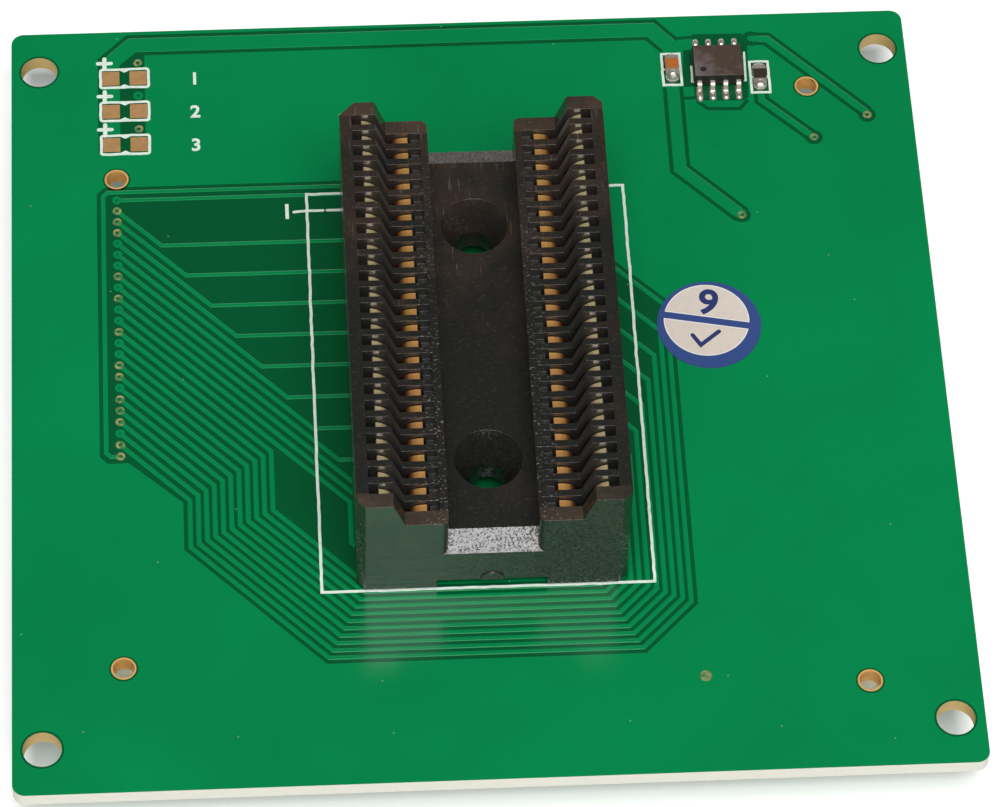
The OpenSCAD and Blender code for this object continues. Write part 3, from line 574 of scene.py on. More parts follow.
def plated_spring(name, colour, tarnish_and_shade=None, tips=None):
    """Stamped bronze strip with a flash of gold, painted dark below its tips as shade where their heights are
    given.
    """
    # The gold is thin, so the rolling lines along the strip show through, with duller patches and contacts
    # that have aged more than others; below the tips, where their heights are given, the strip is painted
    # dark through a red-brown belt, as painted shade deep in the slots, and only the tips are bright
    material, add, place = new_material(name)
    ages = add("TexNoise", {"Vector": place, "Scale": per_mm(4.0), "Detail": 1.0})
    hue = add("MapRange", (ages, 0.35, 0.65, 0.494, 0.508))
    aged = add("HueSaturation", {"Color": colour, "Hue": hue})
    tone, patches = mottled(add, place, aged, size=1.5, detail=3.0, shades=(0.78, 1.1))
    gloss = add("MapRange", {"Value": patches, "To Min": 0.5, "To Max": 0.32})
    along = add("Mapping", {"Vector": place, "Scale": (1.0, 1.0, 0.08)})
    rolled = grain(add, along, size=0.08, strength=0.08, depth=0.01)
    if tips is not None:
        # Below the tips the strip is painted dark, through a red-brown belt, as painted shade deep in the
        # slots
        height = add("SeparateXYZ", (place,)).outputs["Z"]
        middle = sum(tips) / 2
        legs = overlay(add, *tarnish_and_shade, height, metres(tips[0], middle))
        tone = overlay(add, legs, tone, height, metres(middle, tips[1]))
    show_surface(add, {"Base Color": tone, "Metallic": 0.68, "Roughness": gloss, "Normal": rolled})
    return material


def metal_skin(name, colour, smooth, dull, size):
    """Tin that was plated or melted on, with crystals of the given size."""
    # Tin keeps a soft silver shine, broken by crystals that each catch the light apart
    material, add, place = new_material(name)
    crystals = add("TexVoronoi", {"Vector": place, "Scale": per_mm(size)})
    shade = add("MapRange", {"Value": crystals, "To Min": 0.9, "To Max": 1.06})
    tone = add("HueSaturation", {"Color": colour, "Value": shade})
    gloss = add("MapRange", {"Value": crystals, "To Min": smooth, "To Max": dull})
    frost = add("Bump", {"Height": crystals, "Strength": 0.15, "Distance": 0.02 * MM})
    show_surface(add, {"Base Color": tone, "Metallic": 0.75, "Roughness": gloss, "Normal": frost})
    return material


def header_plastic(colour):
    """Moulded plastic of the headers."""
    # The mould leaves a satin skin whose grain breaks the shine, with a faint grey bloom
    material, add, place = new_material("Moulded header plastic")
    tone, bloom = mottled(add, place, colour, size=1.6, detail=4.0, shades=(0.8, 1.25))
    gloss = add("MapRange", {"Value": bloom, "To Min": 0.32, "To Max": 0.48})
    pits = grain(add, place, size=0.2, strength=0.2, depth=0.02)
    show_surface(add, {"Base Color": tone, "Roughness": gloss, "IOR": 1.55, "Normal": pits})
    return material


def chip_epoxy(look):
    """Moulded epoxy with a film of dried flux."""
    # The top is ground to a dull brown, the sides and the dimple are painted a darker black as shade, and the
    # film is a grey bloom that lies on one end only
    material, add, place = new_material("Moulded epoxy")
    low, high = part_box("chip_body")
    axes = add("SeparateXYZ", (place,)).outputs
    end = add("MapRange", (axes["X"], low.x, high.x, 0.32, -0.12))
    front = add("MapRange", (axes["Y"], low.y, high.y, 0.12, -0.12))
    clouds = add("TexNoise", {"Vector": place, "Scale": per_mm(1.1), "Detail": 5.0})
    one_end = add("Math", (clouds, end), operation="ADD")
    settled = add("Math", (one_end, front), operation="ADD")
    top = overlay(add, look.chip, look.bloom, settled, (0.55, 0.95), share=0.85)
    dimple = (low.x + DIMPLE_IN * MM, low.y + DIMPLE_IN * MM, high.z)
    away = add("VectorMath", (place, dimple), operation="DISTANCE")
    in_dimple = add("MapRange", (away, *metres(*DIMPLE_R), 1.0, 0.0))
    # Painted shade: the steep sides and the dimple are darker
    painted_shade = add("MapRange", (facing_axes(add)["Z"], 0.5, 0.8, 1.0, in_dimple))
    tone = add("Mix", (painted_shade, top, look.chip_side_shade), data_type="RGBA")
    rounded = add("Bevel", {"Radius": look.chip_round}, samples=6)
    pits = grain(add, place, size=0.14, strength=0.2, depth=0.02, normal=rounded)
    show_surface(add, {"Base Color": tone, "Roughness": 0.5, "IOR": 1.55, "Normal": pits})
    return material


def fired_ceramic(name, colour, rough):
    """Fired ceramic block."""
    # Firing leaves a fine, nearly matt grain with small colour changes
    material, add, place = new_material(name)
    tone = mottled(add, place, colour, size=0.25, detail=3.0, shades=(0.82, 1.15))[0]
    show_surface(add, {"Base Color": tone, "Roughness": rough, "IOR": 1.6})
    return material


def print_middle():
    """Middle of the sticker's print, which sits a little off the sticker's own middle."""
    return (STICKER_LOW + STICKER_HIGH) * 0.5 + Vector(PRINT_OFF)


def printed_paper(look):
    """Coated sticker paper with a printed ring, a bar across it and two tinted halves."""
    # The print is flat and even and a little off the sticker's middle, with a line of bare paper
    # round each half, and the paper's coat gives a faint sheen
    material, add, place = new_material("Printed sticker paper")
    middle = print_middle() * MM
    spot = add("VectorMath", (place, (middle.x, middle.y, 0.0)), operation="SUBTRACT")
    flat = add("VectorMath", (spot, (1.0, 1.0, 0.0)), operation="MULTIPLY")
    reach = add("VectorMath", (flat,), operation="LENGTH")
    inside = add("Math", (PRINT_R * MM, reach), operation="SUBTRACT")
    lean = PRINT_LEAN + math.pi / 2
    across = add("VectorMath", (flat, (math.cos(lean), math.sin(lean), 0.0)), operation="DOT_PRODUCT")
    aside = add("Math", (across,), operation="ABSOLUTE")
    off_bar = add("Math", (aside, PRINT_BAR * MM), operation="SUBTRACT")
    depth = add("Math", (inside, off_bar), operation="MINIMUM")
    inked = add("Math", (depth, 0.0), operation="LESS_THAN")
    tinted = add("Math", (depth, PRINT_RIM * MM), operation="GREATER_THAN")
    halves = add("Mix", (tinted, look.sticker_paper, look.sticker_tint), data_type="RGBA")
    printed = add("Mix", (inked, halves, look.sticker_ink), data_type="RGBA")
    tone = mottled(add, place, printed, size=0.6, detail=4.0, shades=(0.97, 1.03))[0]
    show_surface(add, {"Base Color": tone, "Roughness": 0.45, "IOR": 1.5})
    return material


def printed_ink(colour):
    """Offset ink on coated paper."""
    # The ink lies flat and even, with slight mottling
    material, add, place = new_material("Offset printing ink")
    tone = mottled(add, place, colour, size=0.4, detail=2.0, shades=(0.92, 1.06), spread=(0.0, 1.0))[0]
    show_surface(add, {"Base Color": tone, "Roughness": 0.45, "IOR": 1.5})
    return material


def finish_nodes(material, *nodes):
    """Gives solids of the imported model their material."""
    for name in nodes:
        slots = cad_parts[name].data.materials
        slots.clear()
        slots.append(material)


def round_edges(radius, *nodes):
    """Rounds the edges of block-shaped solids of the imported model."""
    for name in nodes:
        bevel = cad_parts[name].modifiers.new("Rounded edges", "BEVEL")
        bevel.width = radius * MM
        bevel.segments = 3
        bevel.limit_method = "ANGLE"


def via_y(number):
    """Place of a via in its column, counted from the top."""
    return VIA_TOP_Y - (number - 1) * VIA_PITCH


def contact_y(index):
    """Place of a contact in its row."""
    return ((CONTACT_COUNT - 1) / 2 - index) * CONTACT_PITCH


def light_rows():
    """Places of the lights' footprints, from the top."""
    return [LIGHT_TOP_Y - i * LIGHT_PITCH for i in range(LIGHT_COUNT)]


def strip_sides(path, width, closed=False):
    """Points along both sides of a strip that follows a path, mitred at the corners."""
    points = [Vector(point) for point in path]
    left, right = [], []
    for i, here in enumerate(points):
        steps = []
        if closed or i > 0:
            steps.append((here - points[i - 1]).normalized())
        if closed or i < len(points) - 1:
            steps.append((points[(i + 1) % len(points)] - here).normalized())
        first = Vector((-steps[0].y, steps[0].x))
        last = Vector((-steps[-1].y, steps[-1].x))
        middle = (first + last).normalized()
        reach = middle * (0.5 * width / middle.dot(first))
        left.append(here + reach)
        right.append(here - reach)
    return left, right


def strip_outline(path, width):
    """Outline of a strip with square ends."""
    left, right = strip_sides(path, width)
    return left + right[::-1]


def stroke_outline(path, width, steps=6):
    """Outline of a stroke with round ends."""
    left, right = strip_sides(path, width)
    outline = []
    for side, end in ((left, path[-1]), (right[::-1], path[0])):
        middle = Vector(end)
        arm = side[-1] - middle
        turns = [Matrix.Rotation(-math.pi * k / steps, 2) for k in range(1, steps)]
        outline += side + [middle + turn @ arm for turn in turns]
    return outline


def circle(centre, radius, count=24):
    """Points round a circle."""
    angles = [2.0 * math.pi * i / count for i in range(count)]
    return [Vector((centre[0] + radius * math.cos(a), centre[1] + radius * math.sin(a))) for a in angles]


def rectangle(centre, size):
    """Corners of an upright rectangle."""
    half_x, half_y = size[0] / 2, size[1] / 2
    turns = ((-1, -1), (1, -1), (1, 1), (-1, 1))
    return [Vector((centre[0] + x * half_x, centre[1] + y * half_y)) for x, y in turns]


def rounded_box(centre, size, radius, steps=4):
    """Points round a rectangle with round corners."""
    points = []
    for k, (x, y) in enumerate(((1, 1), (-1, 1), (-1, -1), (1, -1))):
        middle = Vector((centre[0] + x * (size[0] / 2 - radius), centre[1] + y * (size[1] / 2 - radius)))
        for i in range(steps + 1):
            angle = (k + i / steps) * math.pi / 2
            points.append(middle + radius * Vector((math.cos(angle), math.sin(angle))))
    return points


def pinched_box(low, high, pinch):
    """Points round an upright rectangle whose two long sides are pinched in at their middles."""
    middle = (low[1] + high[1]) / 2
    pinched = [(high[0], middle - pinch), (high[0] - pinch, middle), (high[0], middle + pinch)]
    side = [(high[0], low[1]), *pinched, (high[0], high[1])]
    across = low[0] + high[0]
    return [Vector(point) for point in side] + [Vector((across - x, y)) for x, y in side[::-1]]


def unsteady(path, draw, closed=False):
    """Breaks a path into short steps that stray a little, as printed lines do."""
    ends = path[1:] + path[:1] if closed else path[1:]
    points = []
    for start, end in zip(path, ends):
        start, end = Vector(start), Vector(end)
        length = (end - start).length
        count = max(1, round(length / STRAY_STEP))
        shake = STRAY * min(1.0, length)
        for k in range(count):
            stray = Vector((draw.gauss(0.0, shake), draw.gauss(0.0, shake)))
            points.append(start.lerp(end, k / count) + stray)
    if not closed:
        points.append(Vector(path[-1]))
    return points


def raise_points(shape, outline, height):
    """Adds an outline's points to a shape at a height above the board."""
    z = (BOARD_TOP + height) * MM
    return [shape.verts.new((x * MM, y * MM, z)) for x, y in outline]


def join_loops(shape, here, there):
    """Adds the faces between two loops with the same number of points to a shape."""
    for i in range(len(here)):
        shape.faces.new((here[i - 1], here[i], there[i], there[i - 1]))


def add_slab(shape, outline, low, high, foot=None):
    """Adds a closed slab with the given outline, or with a wider foot, to a shape."""
    bottom = raise_points(shape, foot or outline, low)
    top = raise_points(shape, outline, high)
    shape.faces.new(top)
    shape.faces.new(bottom[::-1])
    join_loops(shape, bottom, top)


def add_ring(shape, outer, inner, low, high):
    """Adds a closed ring between two outlines with the same number of points to a shape."""
    loops = [raise_points(shape, outline, height)
             for outline, height in ((outer, low), (outer, high), (inner, high), (inner, low))]
    for here, there in zip(loops, loops[1:] + loops[:1]):
        join_loops(shape, here, there)


def add_round_ring(shape, centre, radii, low, high, count=24):
    """Adds a closed ring between an outer and an inner radius to a shape."""
    outer, inner = (circle(centre, radius, count) for radius in radii)
    add_ring(shape, outer, inner, low, high)


def add_mound(shape, centre, half, height, count=20, rings=6):
    """Adds a closed mound with rounded flanks and a blunt outline, which stands on the board, to a shape."""
    roundness, bluntness = 0.8, 0.7
    loops = []
    for k in range(rings):
        rise = math.pi / 2 * k / rings
        shrink = math.cos(rise) ** roundness
        outline = []
        for i in range(count):
            angle = 2.0 * math.pi * i / count
            turned = (math.cos(angle), math.sin(angle))
            reach = [shrink * math.copysign(abs(part) ** bluntness, part) for part in turned]
            outline.append([centre[axis] + half[axis] * reach[axis] for axis in (0, 1)])
        loops.append(raise_points(shape, outline, height * math.sin(rise) if k else SUNK))
    shape.faces.new(loops[0][::-1])
    for here, there in zip(loops, loops[1:]):
        join_loops(shape, here, there)
    top = raise_points(shape, [centre], height)[0]
    for i in range(count):
        shape.faces.new((loops[-1][i - 1], loops[-1][i], top))


def add_trace(shape, path, width):
    """Adds a trace along an open path to a shape, with edges that slope down as the mask over copper does."""
    spread = TRACE_EDGE * (TRACE_TOP - SUNK) / (TRACE_TOP - GAP_TOP)
    crest = width - 2 * TRACE_EDGE
    add_slab(shape, strip_outline(path, crest), SUNK, TRACE_TOP, strip_outline(path, crest + 2 * spread))


def add_object(name, data, material, place=(0.0, 0.0, 0.0), turn=0.0):
    """Puts a mesh or curve with its material in the scene."""
    data.materials.append(material)
    made = bpy.data.objects.new(name, data)
    made.location = metres(*place)
    made.rotation_euler.z = turn
    bpy.context.scene.collection.objects.link(made)
    return made


def ride_adapter(piece):
    """Lets a piece ride on the adapter's body."""
    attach(piece, "adapter")
    return piece


def make_mesh(name, shape):
    """Turns a shape into a mesh."""
    mesh = bpy.data.meshes.new(name)
    shape.to_mesh(mesh)
    shape.free()
    return mesh


def make_piece(name, shape, material, smooth=False):
    """Turns a shape into a piece of the adapter."""
    bmesh.ops.recalc_face_normals(shape, faces=shape.faces)
    for face in shape.faces:
        face.smooth = smooth
    return ride_adapter(add_object(name, make_mesh(name, shape), material))


def make_figure(name, text, size, weight, place, thickness, material, turn=0.0):
    """Sets a plain figure as a raised piece of printing, centred on a place and thickened by a weight."""
    curve = bpy.data.curves.new(name, "FONT")
    curve.body = text
    curve.size = size * MM
    curve.offset = weight * MM
    curve.extrude = thickness * MM / 2
    curve.align_x = "CENTER"
    curve.align_y = "CENTER"
    return ride_adapter(add_object(name, curve, material, place, turn))


def fan_routes():
    """Traces of the upper vias: slanted from the via, then level to a left contact."""
    routes = [[(VIA_X, via_y(1)), (-TAIL_X, via_y(1))]]
    for number in range(2, FAN_LAST_VIA + 1):
        level = contact_y(2 * (number - 1)) - FAN_DROP
        knee = VIA_X + via_y(number) - level
        route = [(VIA_X, via_y(number)), (knee, level)]
        if knee < -TAIL_X:
            route.append((-TAIL_X, level))
        routes.append(route)
    step_y = via_y(STEP_VIA) - (STEP_X - VIA_X)
    routes.append([
        (VIA_X, via_y(STEP_VIA)), (STEP_X, step_y), (STEP_X, STEP_LOW_Y),
        (-TAIL_X, STEP_LOW_Y - (-TAIL_X - STEP_X))])
    return routes


def lane_route(lane):
    """A trace round the socket's front, counted from the outermost lane."""
    number = LANE_FIRST_VIA - lane
    down_x = LANE_DOWN_X + lane * LANE_PITCH
    bend_y = LANE_BEND_Y + lane * LANE_BEND_STEP
    level = LANE_LEVEL_Y + lane * LANE_PITCH
    turn = LANE_TURN - lane * LANE_TURN_STEP
    up_x = LANE_UP_X - lane * LANE_PITCH
    end_y = contact_y(2 + 2 * lane) - FAN_DROP
    return [
        (VIA_X, via_y(number)),
        (down_x, via_y(number) - (down_x - VIA_X)),
        (down_x, bend_y),
        (down_x + bend_y - level, level),
        (turn + level, level),
        (up_x, up_x - turn),
        (up_x, end_y + TAIL_X - up_x),
        (TAIL_X, end_y),
    ]


def bracket_route():
    """Trace of the last via: out, up beside the column and over its top to the socket."""
    low = via_y(VIA_COUNT)
    return [
        (VIA_X, low), (BRACKET_X + BRACKET_CUT, low), (BRACKET_X, low + BRACKET_CUT),
        (BRACKET_X, BRACKET_TOP_Y - BRACKET_CUT), (BRACKET_X + BRACKET_CUT, BRACKET_TOP_Y),
        (-TAIL_X, BRACKET_TOP_Y)]


def bare_field(margin):
    """Outline of the area under the traces that has no copper field."""
    low = via_y(VIA_COUNT)
    rim = [Vector(point) for point in (
        (-TAIL_X, BRACKET_TOP_Y + margin),
        (BRACKET_X + BRACKET_CUT - margin / 2, BRACKET_TOP_Y + margin),
        (BRACKET_X - margin, BRACKET_TOP_Y - BRACKET_CUT + margin / 2),
        (BRACKET_X - margin, low),
        (BRACKET_X + BRACKET_CUT - margin / 2, low - FIELD_REACH),
        (VIA_X + FIELD_REACH, low - FIELD_REACH))]
    outside = strip_sides(lane_route(0), 2.0 * margin)[1]
    return rim + outside[1:]


class ADAPTER_OT_board(bpy.types.Operator):
    """Finishes the laminate and lays the masked copper pattern on it"""

    bl_idname = "adapter.board"
    bl_label = "Board and traces"

    def execute(self, context):
        look = context.scene.adapter_board
        width = look.trace_width / MM
        gap = look.gap_width / MM
        finish_nodes(solder_mask("Solder mask on board", look, look.mask, cut=True), "board")
        bare = solder_mask("Solder mask on laminate", look, look.mask_bare)
        make_piece("bare_lines", self.bare_lines(width, gap), bare)
        over_copper = solder_mask("Solder mask on traces", look, look.mask)
        make_piece("masked_traces", self.traces(width), over_copper)
        return {"FINISHED"}

    def bare_lines(self, width, gap):
        """Shape of the dark mask: lines and patches where no copper lies under it, thin dark rings round the
        holes and pads, and two patches that are partly painted shade round the capacitor and the resistor.
        """
        outlines = [bare_field(width / 2 + gap)]
        outlines += [strip_outline(path, strip + 2 * gap) for path, strip in STRIPS.values()]
        outlines += [stroke_outline(path, gap) for path in GAP_LINES]
        outlines += BARE_AND_SHADE_PATCHES
        outlines += [circle(place, radius) for place, radius in ROUND_GAPS]
        shape = bmesh.new()
        for k, outline in enumerate(outlines):
            add_slab(shape, outline, SUNK, GAP_TOP + k * LAYER_STEP)
        for place in GUIDE_HOLES:
            add_round_ring(shape, place, GUIDE_RING_R, SUNK, GAP_TOP, count=40)
        for place in CORNER_HOLES:
            add_round_ring(shape, place, CORNER_RING_R, SUNK, GAP_TOP, count=64)
        for y in light_rows():
            for x in (LIGHT_X - LIGHT_PAD_X, LIGHT_X + LIGHT_PAD_X):
                outer = rectangle((x, y), [side + LIGHT_PAD_GAP for side in LIGHT_PAD])
                add_ring(shape, outer, rectangle((x, y), LIGHT_PAD), SUNK, TRACE_TOP + 2 * LAYER_STEP)
        return shape

    def traces(self, width):
        """Shape of the mask that stands up over traces and over rings of covered vias."""
        shape = bmesh.new()
        lanes = [lane_route(lane) for lane in range(LANE_COUNT)]
        for route in fan_routes() + lanes + [bracket_route()]:
            add_trace(shape, route, width)
        for path, strip in STRIPS.values():
            add_trace(shape, path, strip)
        for number in range(1, VIA_COUNT + 1):
            if number not in BARE_VIAS:
                add_round_ring(shape, (VIA_X, via_y(number)), TENT_R, SUNK, TENT_TOP)
        for place in SMALL_VIAS:
            add_round_ring(shape, place, SMALL_VIA_R, SUNK, TRACE_TOP + LAYER_STEP)
        beside = (LIGHT_X + LIGHT_VIA[0], light_rows()[1] + LIGHT_VIA[1])
        add_round_ring(shape, beside, LIGHT_VIA_R, SUNK, TENT_TOP)
        return shape


class ADAPTER_OT_plating(bpy.types.Operator):
    """Finishes the bare copper of the holes and pads"""

    bl_idname = "adapter.plating"
    bl_label = "Bare copper"

    def execute(self, context):
        look = context.scene.adapter_board
        finish_nodes(coated_copper("Plated copper of guide holes", look.barrel, shine=0.2), "guide_barrels")
        masked = coated_copper("Thinly masked copper of vias", look.ring, shine=0.5, veil=look.mask)
        finish_nodes(masked, "via_barrels", "test_pad")
        finish_nodes(coated_copper("Coated copper of bare pads", look.pad, shine=0.35), "led_pads")
        return {"FINISHED"}


class ADAPTER_OT_legend(bpy.types.Operator):
    """Prints the white outlines and figures"""

    bl_idname = "adapter.legend"
    bl_label = "Legend"

    def execute(self, context):
        look = context.scene.adapter_board
        ink = legend_ink(look.legend)
        make_piece("legend_lines", self.lines(look.line_width / MM), ink)
        height = BOARD_TOP + LEGEND_TOP / 2
        for i in range(LIGHT_COUNT):
            place = (LIGHT_FIGURE[0], LIGHT_FIGURE[1] - i * LIGHT_PITCH, height)
            make_figure(f"light_figure_{i + 1}", str(i + 1), LIGHT_FIGURE_SIZE, FIGURE_WEIGHT, place,
                        LEGEND_TOP, ink)
        place = (*CONTACT_FIGURE, height)
        make_figure("first_contact_figure", "1", CONTACT_FIGURE_SIZE, FIGURE_WEIGHT, place,
                    LEGEND_TOP, ink)
        return {"FINISHED"}

    def lines(self, width):
        """Shape of the printed outlines, strokes and notches."""
        draw = random.Random(STRAY_SEED)
        shape = bmesh.new()
        boxes = [(rectangle(*SOCKET_BOX), width)]
        boxes += [(pinched_box(low, high, PART_BOX_PINCH), PART_BOX_LINE) for low, high in PART_BOXES]
        boxes += [(rounded_box((LIGHT_X, y), LIGHT_BOX, LIGHT_BOX_R), width) for y in light_rows()]
        for box, line in boxes:
            outer, inner = strip_sides(unsteady(box, draw, closed=True), line, closed=True)
            add_ring(shape, outer, inner, SUNK, LEGEND_TOP)
        strokes = [(path, width) for path in CONTACT_STROKES]
        strokes += [(path, CHIP_STROKE_LINE) for path in CHIP_STROKES]
        for i in range(LIGHT_COUNT):
            left, top = PLUS_TOP[0], PLUS_TOP[1] - i * LIGHT_PITCH
            strokes += [([(left + x, top + y) for x, y in bar], PLUS_LINE) for bar in PLUS_BARS]
        for k, (path, line) in enumerate(strokes):
            outline = stroke_outline(unsteady(path, draw), line)
            add_slab(shape, outline, SUNK, LEGEND_TOP + (k % 2 + 1) * LAYER_STEP)
        half, depth = LIGHT_NOTCH
        for y in light_rows():
            for side in (-1, 1):
                edge = y + side * (LIGHT_BOX[1] - width) / 2
                notch = [(LIGHT_X - half, edge), (LIGHT_X + half, edge), (LIGHT_X, edge - side * depth)]
                add_slab(shape, notch, SUNK, LEGEND_TOP + LAYER_STEP)
        return shape


class ADAPTER_OT_socket(bpy.types.Operator):
    """Finishes the socket's moulded body"""

    bl_idname = "adapter.socket"
    bl_label = "Socket"

    def execute(self, context):
        finish_nodes(socket_plastic(context.scene.adapter_socket), "socket_body")
        return {"FINISHED"}


class ADAPTER_OT_springs(bpy.types.Operator):
    """Finishes the plated springs of the socket"""

    bl_idname = "adapter.springs"
    bl_label = "Springs"

    def execute(self, context):
        look = context.scene.adapter_socket
        # The dark legs and the red-brown belt are painted shade deep in the slots
        tarnish_and_shade = (look.tarnish_and_shade, look.shade_belt)
        outer = plated_spring("Gold-flashed bronze, outer", look.outer_spring, tarnish_and_shade, OUTER_TIP_Z)
        inner = plated_spring("Gold-flashed bronze, inner", look.inner_spring, tarnish_and_shade, INNER_TIP_Z)
        for side in ("left", "right"):
            finish_nodes(outer, f"{side}_outer_leaves", f"{side}_contact_bases")
            finish_nodes(inner, f"{side}_inner_leaves")
        return {"FINISHED"}


class ADAPTER_OT_small_parts(bpy.types.Operator):
    """Finishes the chip, the capacitor and the resistor with their solder"""

    bl_idname = "adapter.small_parts"
    bl_label = "Chip, capacitor and resistor"

    def execute(self, context):
        look = context.scene.adapter_parts
        finish_nodes(chip_epoxy(look), "chip_body")
        tin = metal_skin("Matt tin plate", look.tin, smooth=0.3, dull=0.45, size=0.25)
        solder = metal_skin("Reflowed solder", look.solder, smooth=0.15, dull=0.3, size=0.5)
        finish_nodes(tin, "chip_legs_formed", "capacitor_ends", "resistor_ends")
        finish_nodes(solder, "chip_pads", "passive_solder", "contact_solder")
        finish_nodes(fired_ceramic("Fired titanate ceramic", look.capacitor, rough=0.5), "capacitor_body")
        finish_nodes(fired_ceramic("Fired alumina", look.resistor, rough=0.55), "resistor_body")
        finish_nodes(fired_ceramic("Glazed resistor film", look.film, rough=0.25), "resistor_film")
        round_edges(PART_ROUNDING, "capacitor_ends", "capacitor_body", "resistor_ends")
        fillets = bmesh.new()
        fronts = [FIRST_FILLET] + [FRONT_FILLET] * (len(CHIP_FEET_X) - 1)
        for x, front in zip(CHIP_FEET_X, fronts):
            for y, half, height in (front, REAR_FILLET):
                add_mound(fillets, (x, y), half, height)
        make_piece("chip_fillets", fillets, solder, smooth=True)
        mounds = bmesh.new()
        for x, y, front, rear in PARTS:
            add_mound(mounds, (x, y - PART_END), FRONT_MOUND, front)
            add_mound(mounds, (x, y + PART_END), REAR_MOUND, rear)
        piece = make_piece("part_solder", mounds, solder, smooth=True)
        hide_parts("passive_solder")
        return {"FINISHED"}


class ADAPTER_OT_sticker(bpy.types.Operator):
    """Finishes the round sticker and prints its plain figure and tick"""

    bl_idname = "adapter.sticker"
    bl_label = "Sticker"

    def execute(self, context):
        look = context.scene.adapter_parts
        finish_nodes(printed_paper(look), "inspection_sticker")
        ink = printed_ink(look.figure_ink)
        middle = print_middle().to_2d()
        turn = Matrix.Rotation(PRINT_LEAN, 2)
        figure = middle + turn @ Vector(STICKER_FIGURE)
        place = (*figure, STICKER_HIGH.z + PRINT_TOP / 2)
        make_figure("sticker_figure", "6", STICKER_FIGURE_SIZE, STICKER_FIGURE_WEIGHT, place,
                    PRINT_TOP, ink, PRINT_LEAN + math.pi)
        tick = bmesh.new()
        base = STICKER_HIGH.z - BOARD_TOP
        path = [middle + turn @ Vector(point) for point in TICK]
        add_slab(tick, stroke_outline(path, TICK_LINE), base + PRINT_SUNK, base + PRINT_TOP)
        make_piece("sticker_tick", tick, ink)
        return {"FINISHED"}


class ADAPTER_OT_headers(bpy.types.Operator):
    """Finishes the two headers under the board"""

    bl_idname = "adapter.headers"
    bl_label = "Headers"

    def execute(self, context):
        look = context.scene.adapter_parts
        housing = header_plastic(look.header)
        pins = plated_spring("Gold-flashed header pins", context.scene.adapter_socket.inner_spring)
        for side in ("left", "right"):
            finish_nodes(housing, f"{side}_header_housing")
            finish_nodes(pins, f"{side}_header_contacts")
        pads = metal_skin("Tinned header pads", look.tin, smooth=0.25, dull=0.4, size=0.3)
        finish_nodes(pads, "header_pads")
        return {"FINISHED"}


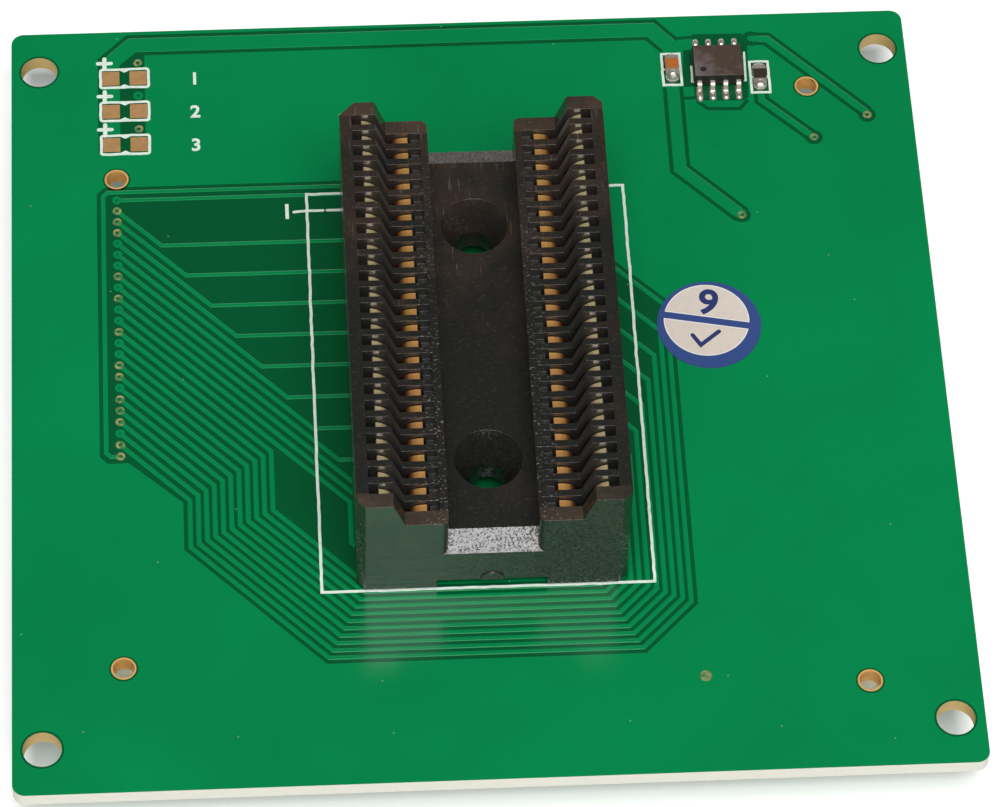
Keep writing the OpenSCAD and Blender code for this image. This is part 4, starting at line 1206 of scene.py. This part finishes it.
class ADAPTER_OT_stage(bpy.types.Operator):
    """Lays the floor and sets the light and the camera"""

    bl_idname = "adapter.stage"
    bl_label = "Stage"

    def execute(self, context):
        look = context.scene.adapter_stage
        self.lay_floor(look)
        self.set_sky(context.scene, look)
        self.set_lamp(context.scene, look)
        self.set_camera(context.scene, look)
        return {"FINISHED"}

    def lay_floor(self, look):
        """Pale paper, which camera and mirror rays see lifted towards white, and less so under the board."""
        material, add, place = new_material("Matt backdrop paper")
        rays = add("LightPath").outputs
        seen = rays["Is Camera Ray"]
        for other in ("Is Glossy Ray", "Is Transmission Ray"):
            seen = add("Math", (seen, rays[other]), operation="MAXIMUM")
        shaded = add("VectorMath", (place, SHADE_SHIFT), operation="SUBTRACT")
        open_floor = add("MapRange", (edge_share(add, shaded), 0.96, 1.0, 0.1, 0.4))
        lift = add("Math", (seen, open_floor), operation="MULTIPLY")
        tooth = grain(add, place, size=1.0, strength=0.05, depth=0.05)
        show_surface(add, {
            "Base Color": look.floor, "Roughness": 0.9, "Normal": tooth,
            "Emission Color": WHITE, "Emission Strength": lift})
        shape = bmesh.new()
        half = look.floor_size / 2
        corners = ((-half, -half), (half, -half), (half, half), (-half, half))
        shape.faces.new([shape.verts.new((x, y, -FLOOR_DROP * MM)) for x, y in corners])
        add_object("floor", make_mesh("floor", shape), material)

    def set_sky(self, scene, look):
        """A sky that is bright over the board's front and dim behind it, with a low glow there."""
        world = bpy.data.worlds.new("Graded sky")
        world.use_nodes = True
        world.node_tree.nodes.clear()
        add = functools.partial(add_node, world.node_tree)
        facing = add("TexCoord").outputs["Generated"]
        toward = add("VectorMath", (facing, SKY_TOWARD), operation="DOT_PRODUCT")
        bright = add("MapRange", (toward, 0.4, 0.9, look.sky_back, look.sky_front))
        axes = add("SeparateXYZ", (facing,)).outputs
        rear = add("MapRange", (axes["Y"], 0.4, 0.7, 0.0, look.rear_glow))
        glow = band(add, axes["Z"], middle=0.36, half=0.06, soft=0.1, share=rear)
        level = add("Math", (bright, glow), operation="MAXIMUM")
        add("OutputWorld", {"Surface": add("Background", {"Color": WHITE, "Strength": level})})
        scene.world = world

    def set_lamp(self, scene, look):
        """One soft lamp high above the board's front edge."""
        lamp = bpy.data.lights.new("key_lamp", "AREA")
        lamp.shape = "RECTANGLE"
        lamp.size, lamp.size_y = LAMP_SIZE
        lamp.energy = look.key_power
        key = bpy.data.objects.new("key_lamp", lamp)
        key.location = LAMP_PLACE
        key.rotation_euler = (-Vector(LAMP_PLACE)).to_track_quat("-Z", "Y").to_euler()
        key.visible_camera = False
        scene.collection.objects.link(key)

    def set_camera(self, scene, look):
        """The photograph's view: its angle, turn, distance and lens."""
        lens = bpy.data.cameras.new("camera")
        lens.lens = look.lens
        lens.sensor_width = SENSOR_WIDTH
        camera = bpy.data.objects.new("camera", lens)
        camera.matrix_world = Matrix.Translation(metres(*TARGET))
        for angle, axis in ((-look.azimuth, "Z"), (math.pi / 2 - look.elevation, "X"), (look.roll, "Z")):
            camera.matrix_world @= Matrix.Rotation(angle, 4, axis)
        camera.matrix_world @= Matrix.Translation((0.0, 0.0, look.distance))
        scene.collection.objects.link(camera)
        scene.camera = camera
        scene.view_settings.view_transform = "Standard"


PIECES = (
    ADAPTER_OT_board, ADAPTER_OT_plating, ADAPTER_OT_legend, ADAPTER_OT_socket, ADAPTER_OT_springs,
    ADAPTER_OT_small_parts, ADAPTER_OT_sticker, ADAPTER_OT_headers, ADAPTER_OT_stage)
LOOKS = {
    "adapter_board": BoardLook,
    "adapter_socket": SocketLook,
    "adapter_parts": PartsLook,
    "adapter_stage": StageLook,
}


class ADAPTER_PT_looks(bpy.types.Panel):
    """Lists the steps that dress the adapter"""

    bl_idname = "ADAPTER_PT_looks"
    bl_label = "Chip adapter"
    bl_space_type = "VIEW_3D"
    bl_region_type = "UI"
    bl_category = "Adapter"

    def draw(self, context):
        for piece in PIECES:
            self.layout.operator(piece.bl_idname)


def register():
    """Makes the looks, steps and panel known to Blender."""
    for name, look in LOOKS.items():
        bpy.utils.register_class(look)
        setattr(bpy.types.Scene, name, bpy.props.PointerProperty(type=look))
    for made in PIECES + (ADAPTER_PT_looks,):
        bpy.utils.register_class(made)


def unregister():
    """Takes them out again."""
    for made in reversed(PIECES + (ADAPTER_PT_looks,)):
        bpy.utils.unregister_class(made)
    for name, look in reversed(LOOKS.items()):
        delattr(bpy.types.Scene, name)
        bpy.utils.unregister_class(look)


def main():
    """Dresses the adapter step by step."""
    register()
    for piece in PIECES:
        group, step = piece.bl_idname.split(".")
        getattr(getattr(bpy.ops, group), step)()


if __name__ == "__main__":
    main()
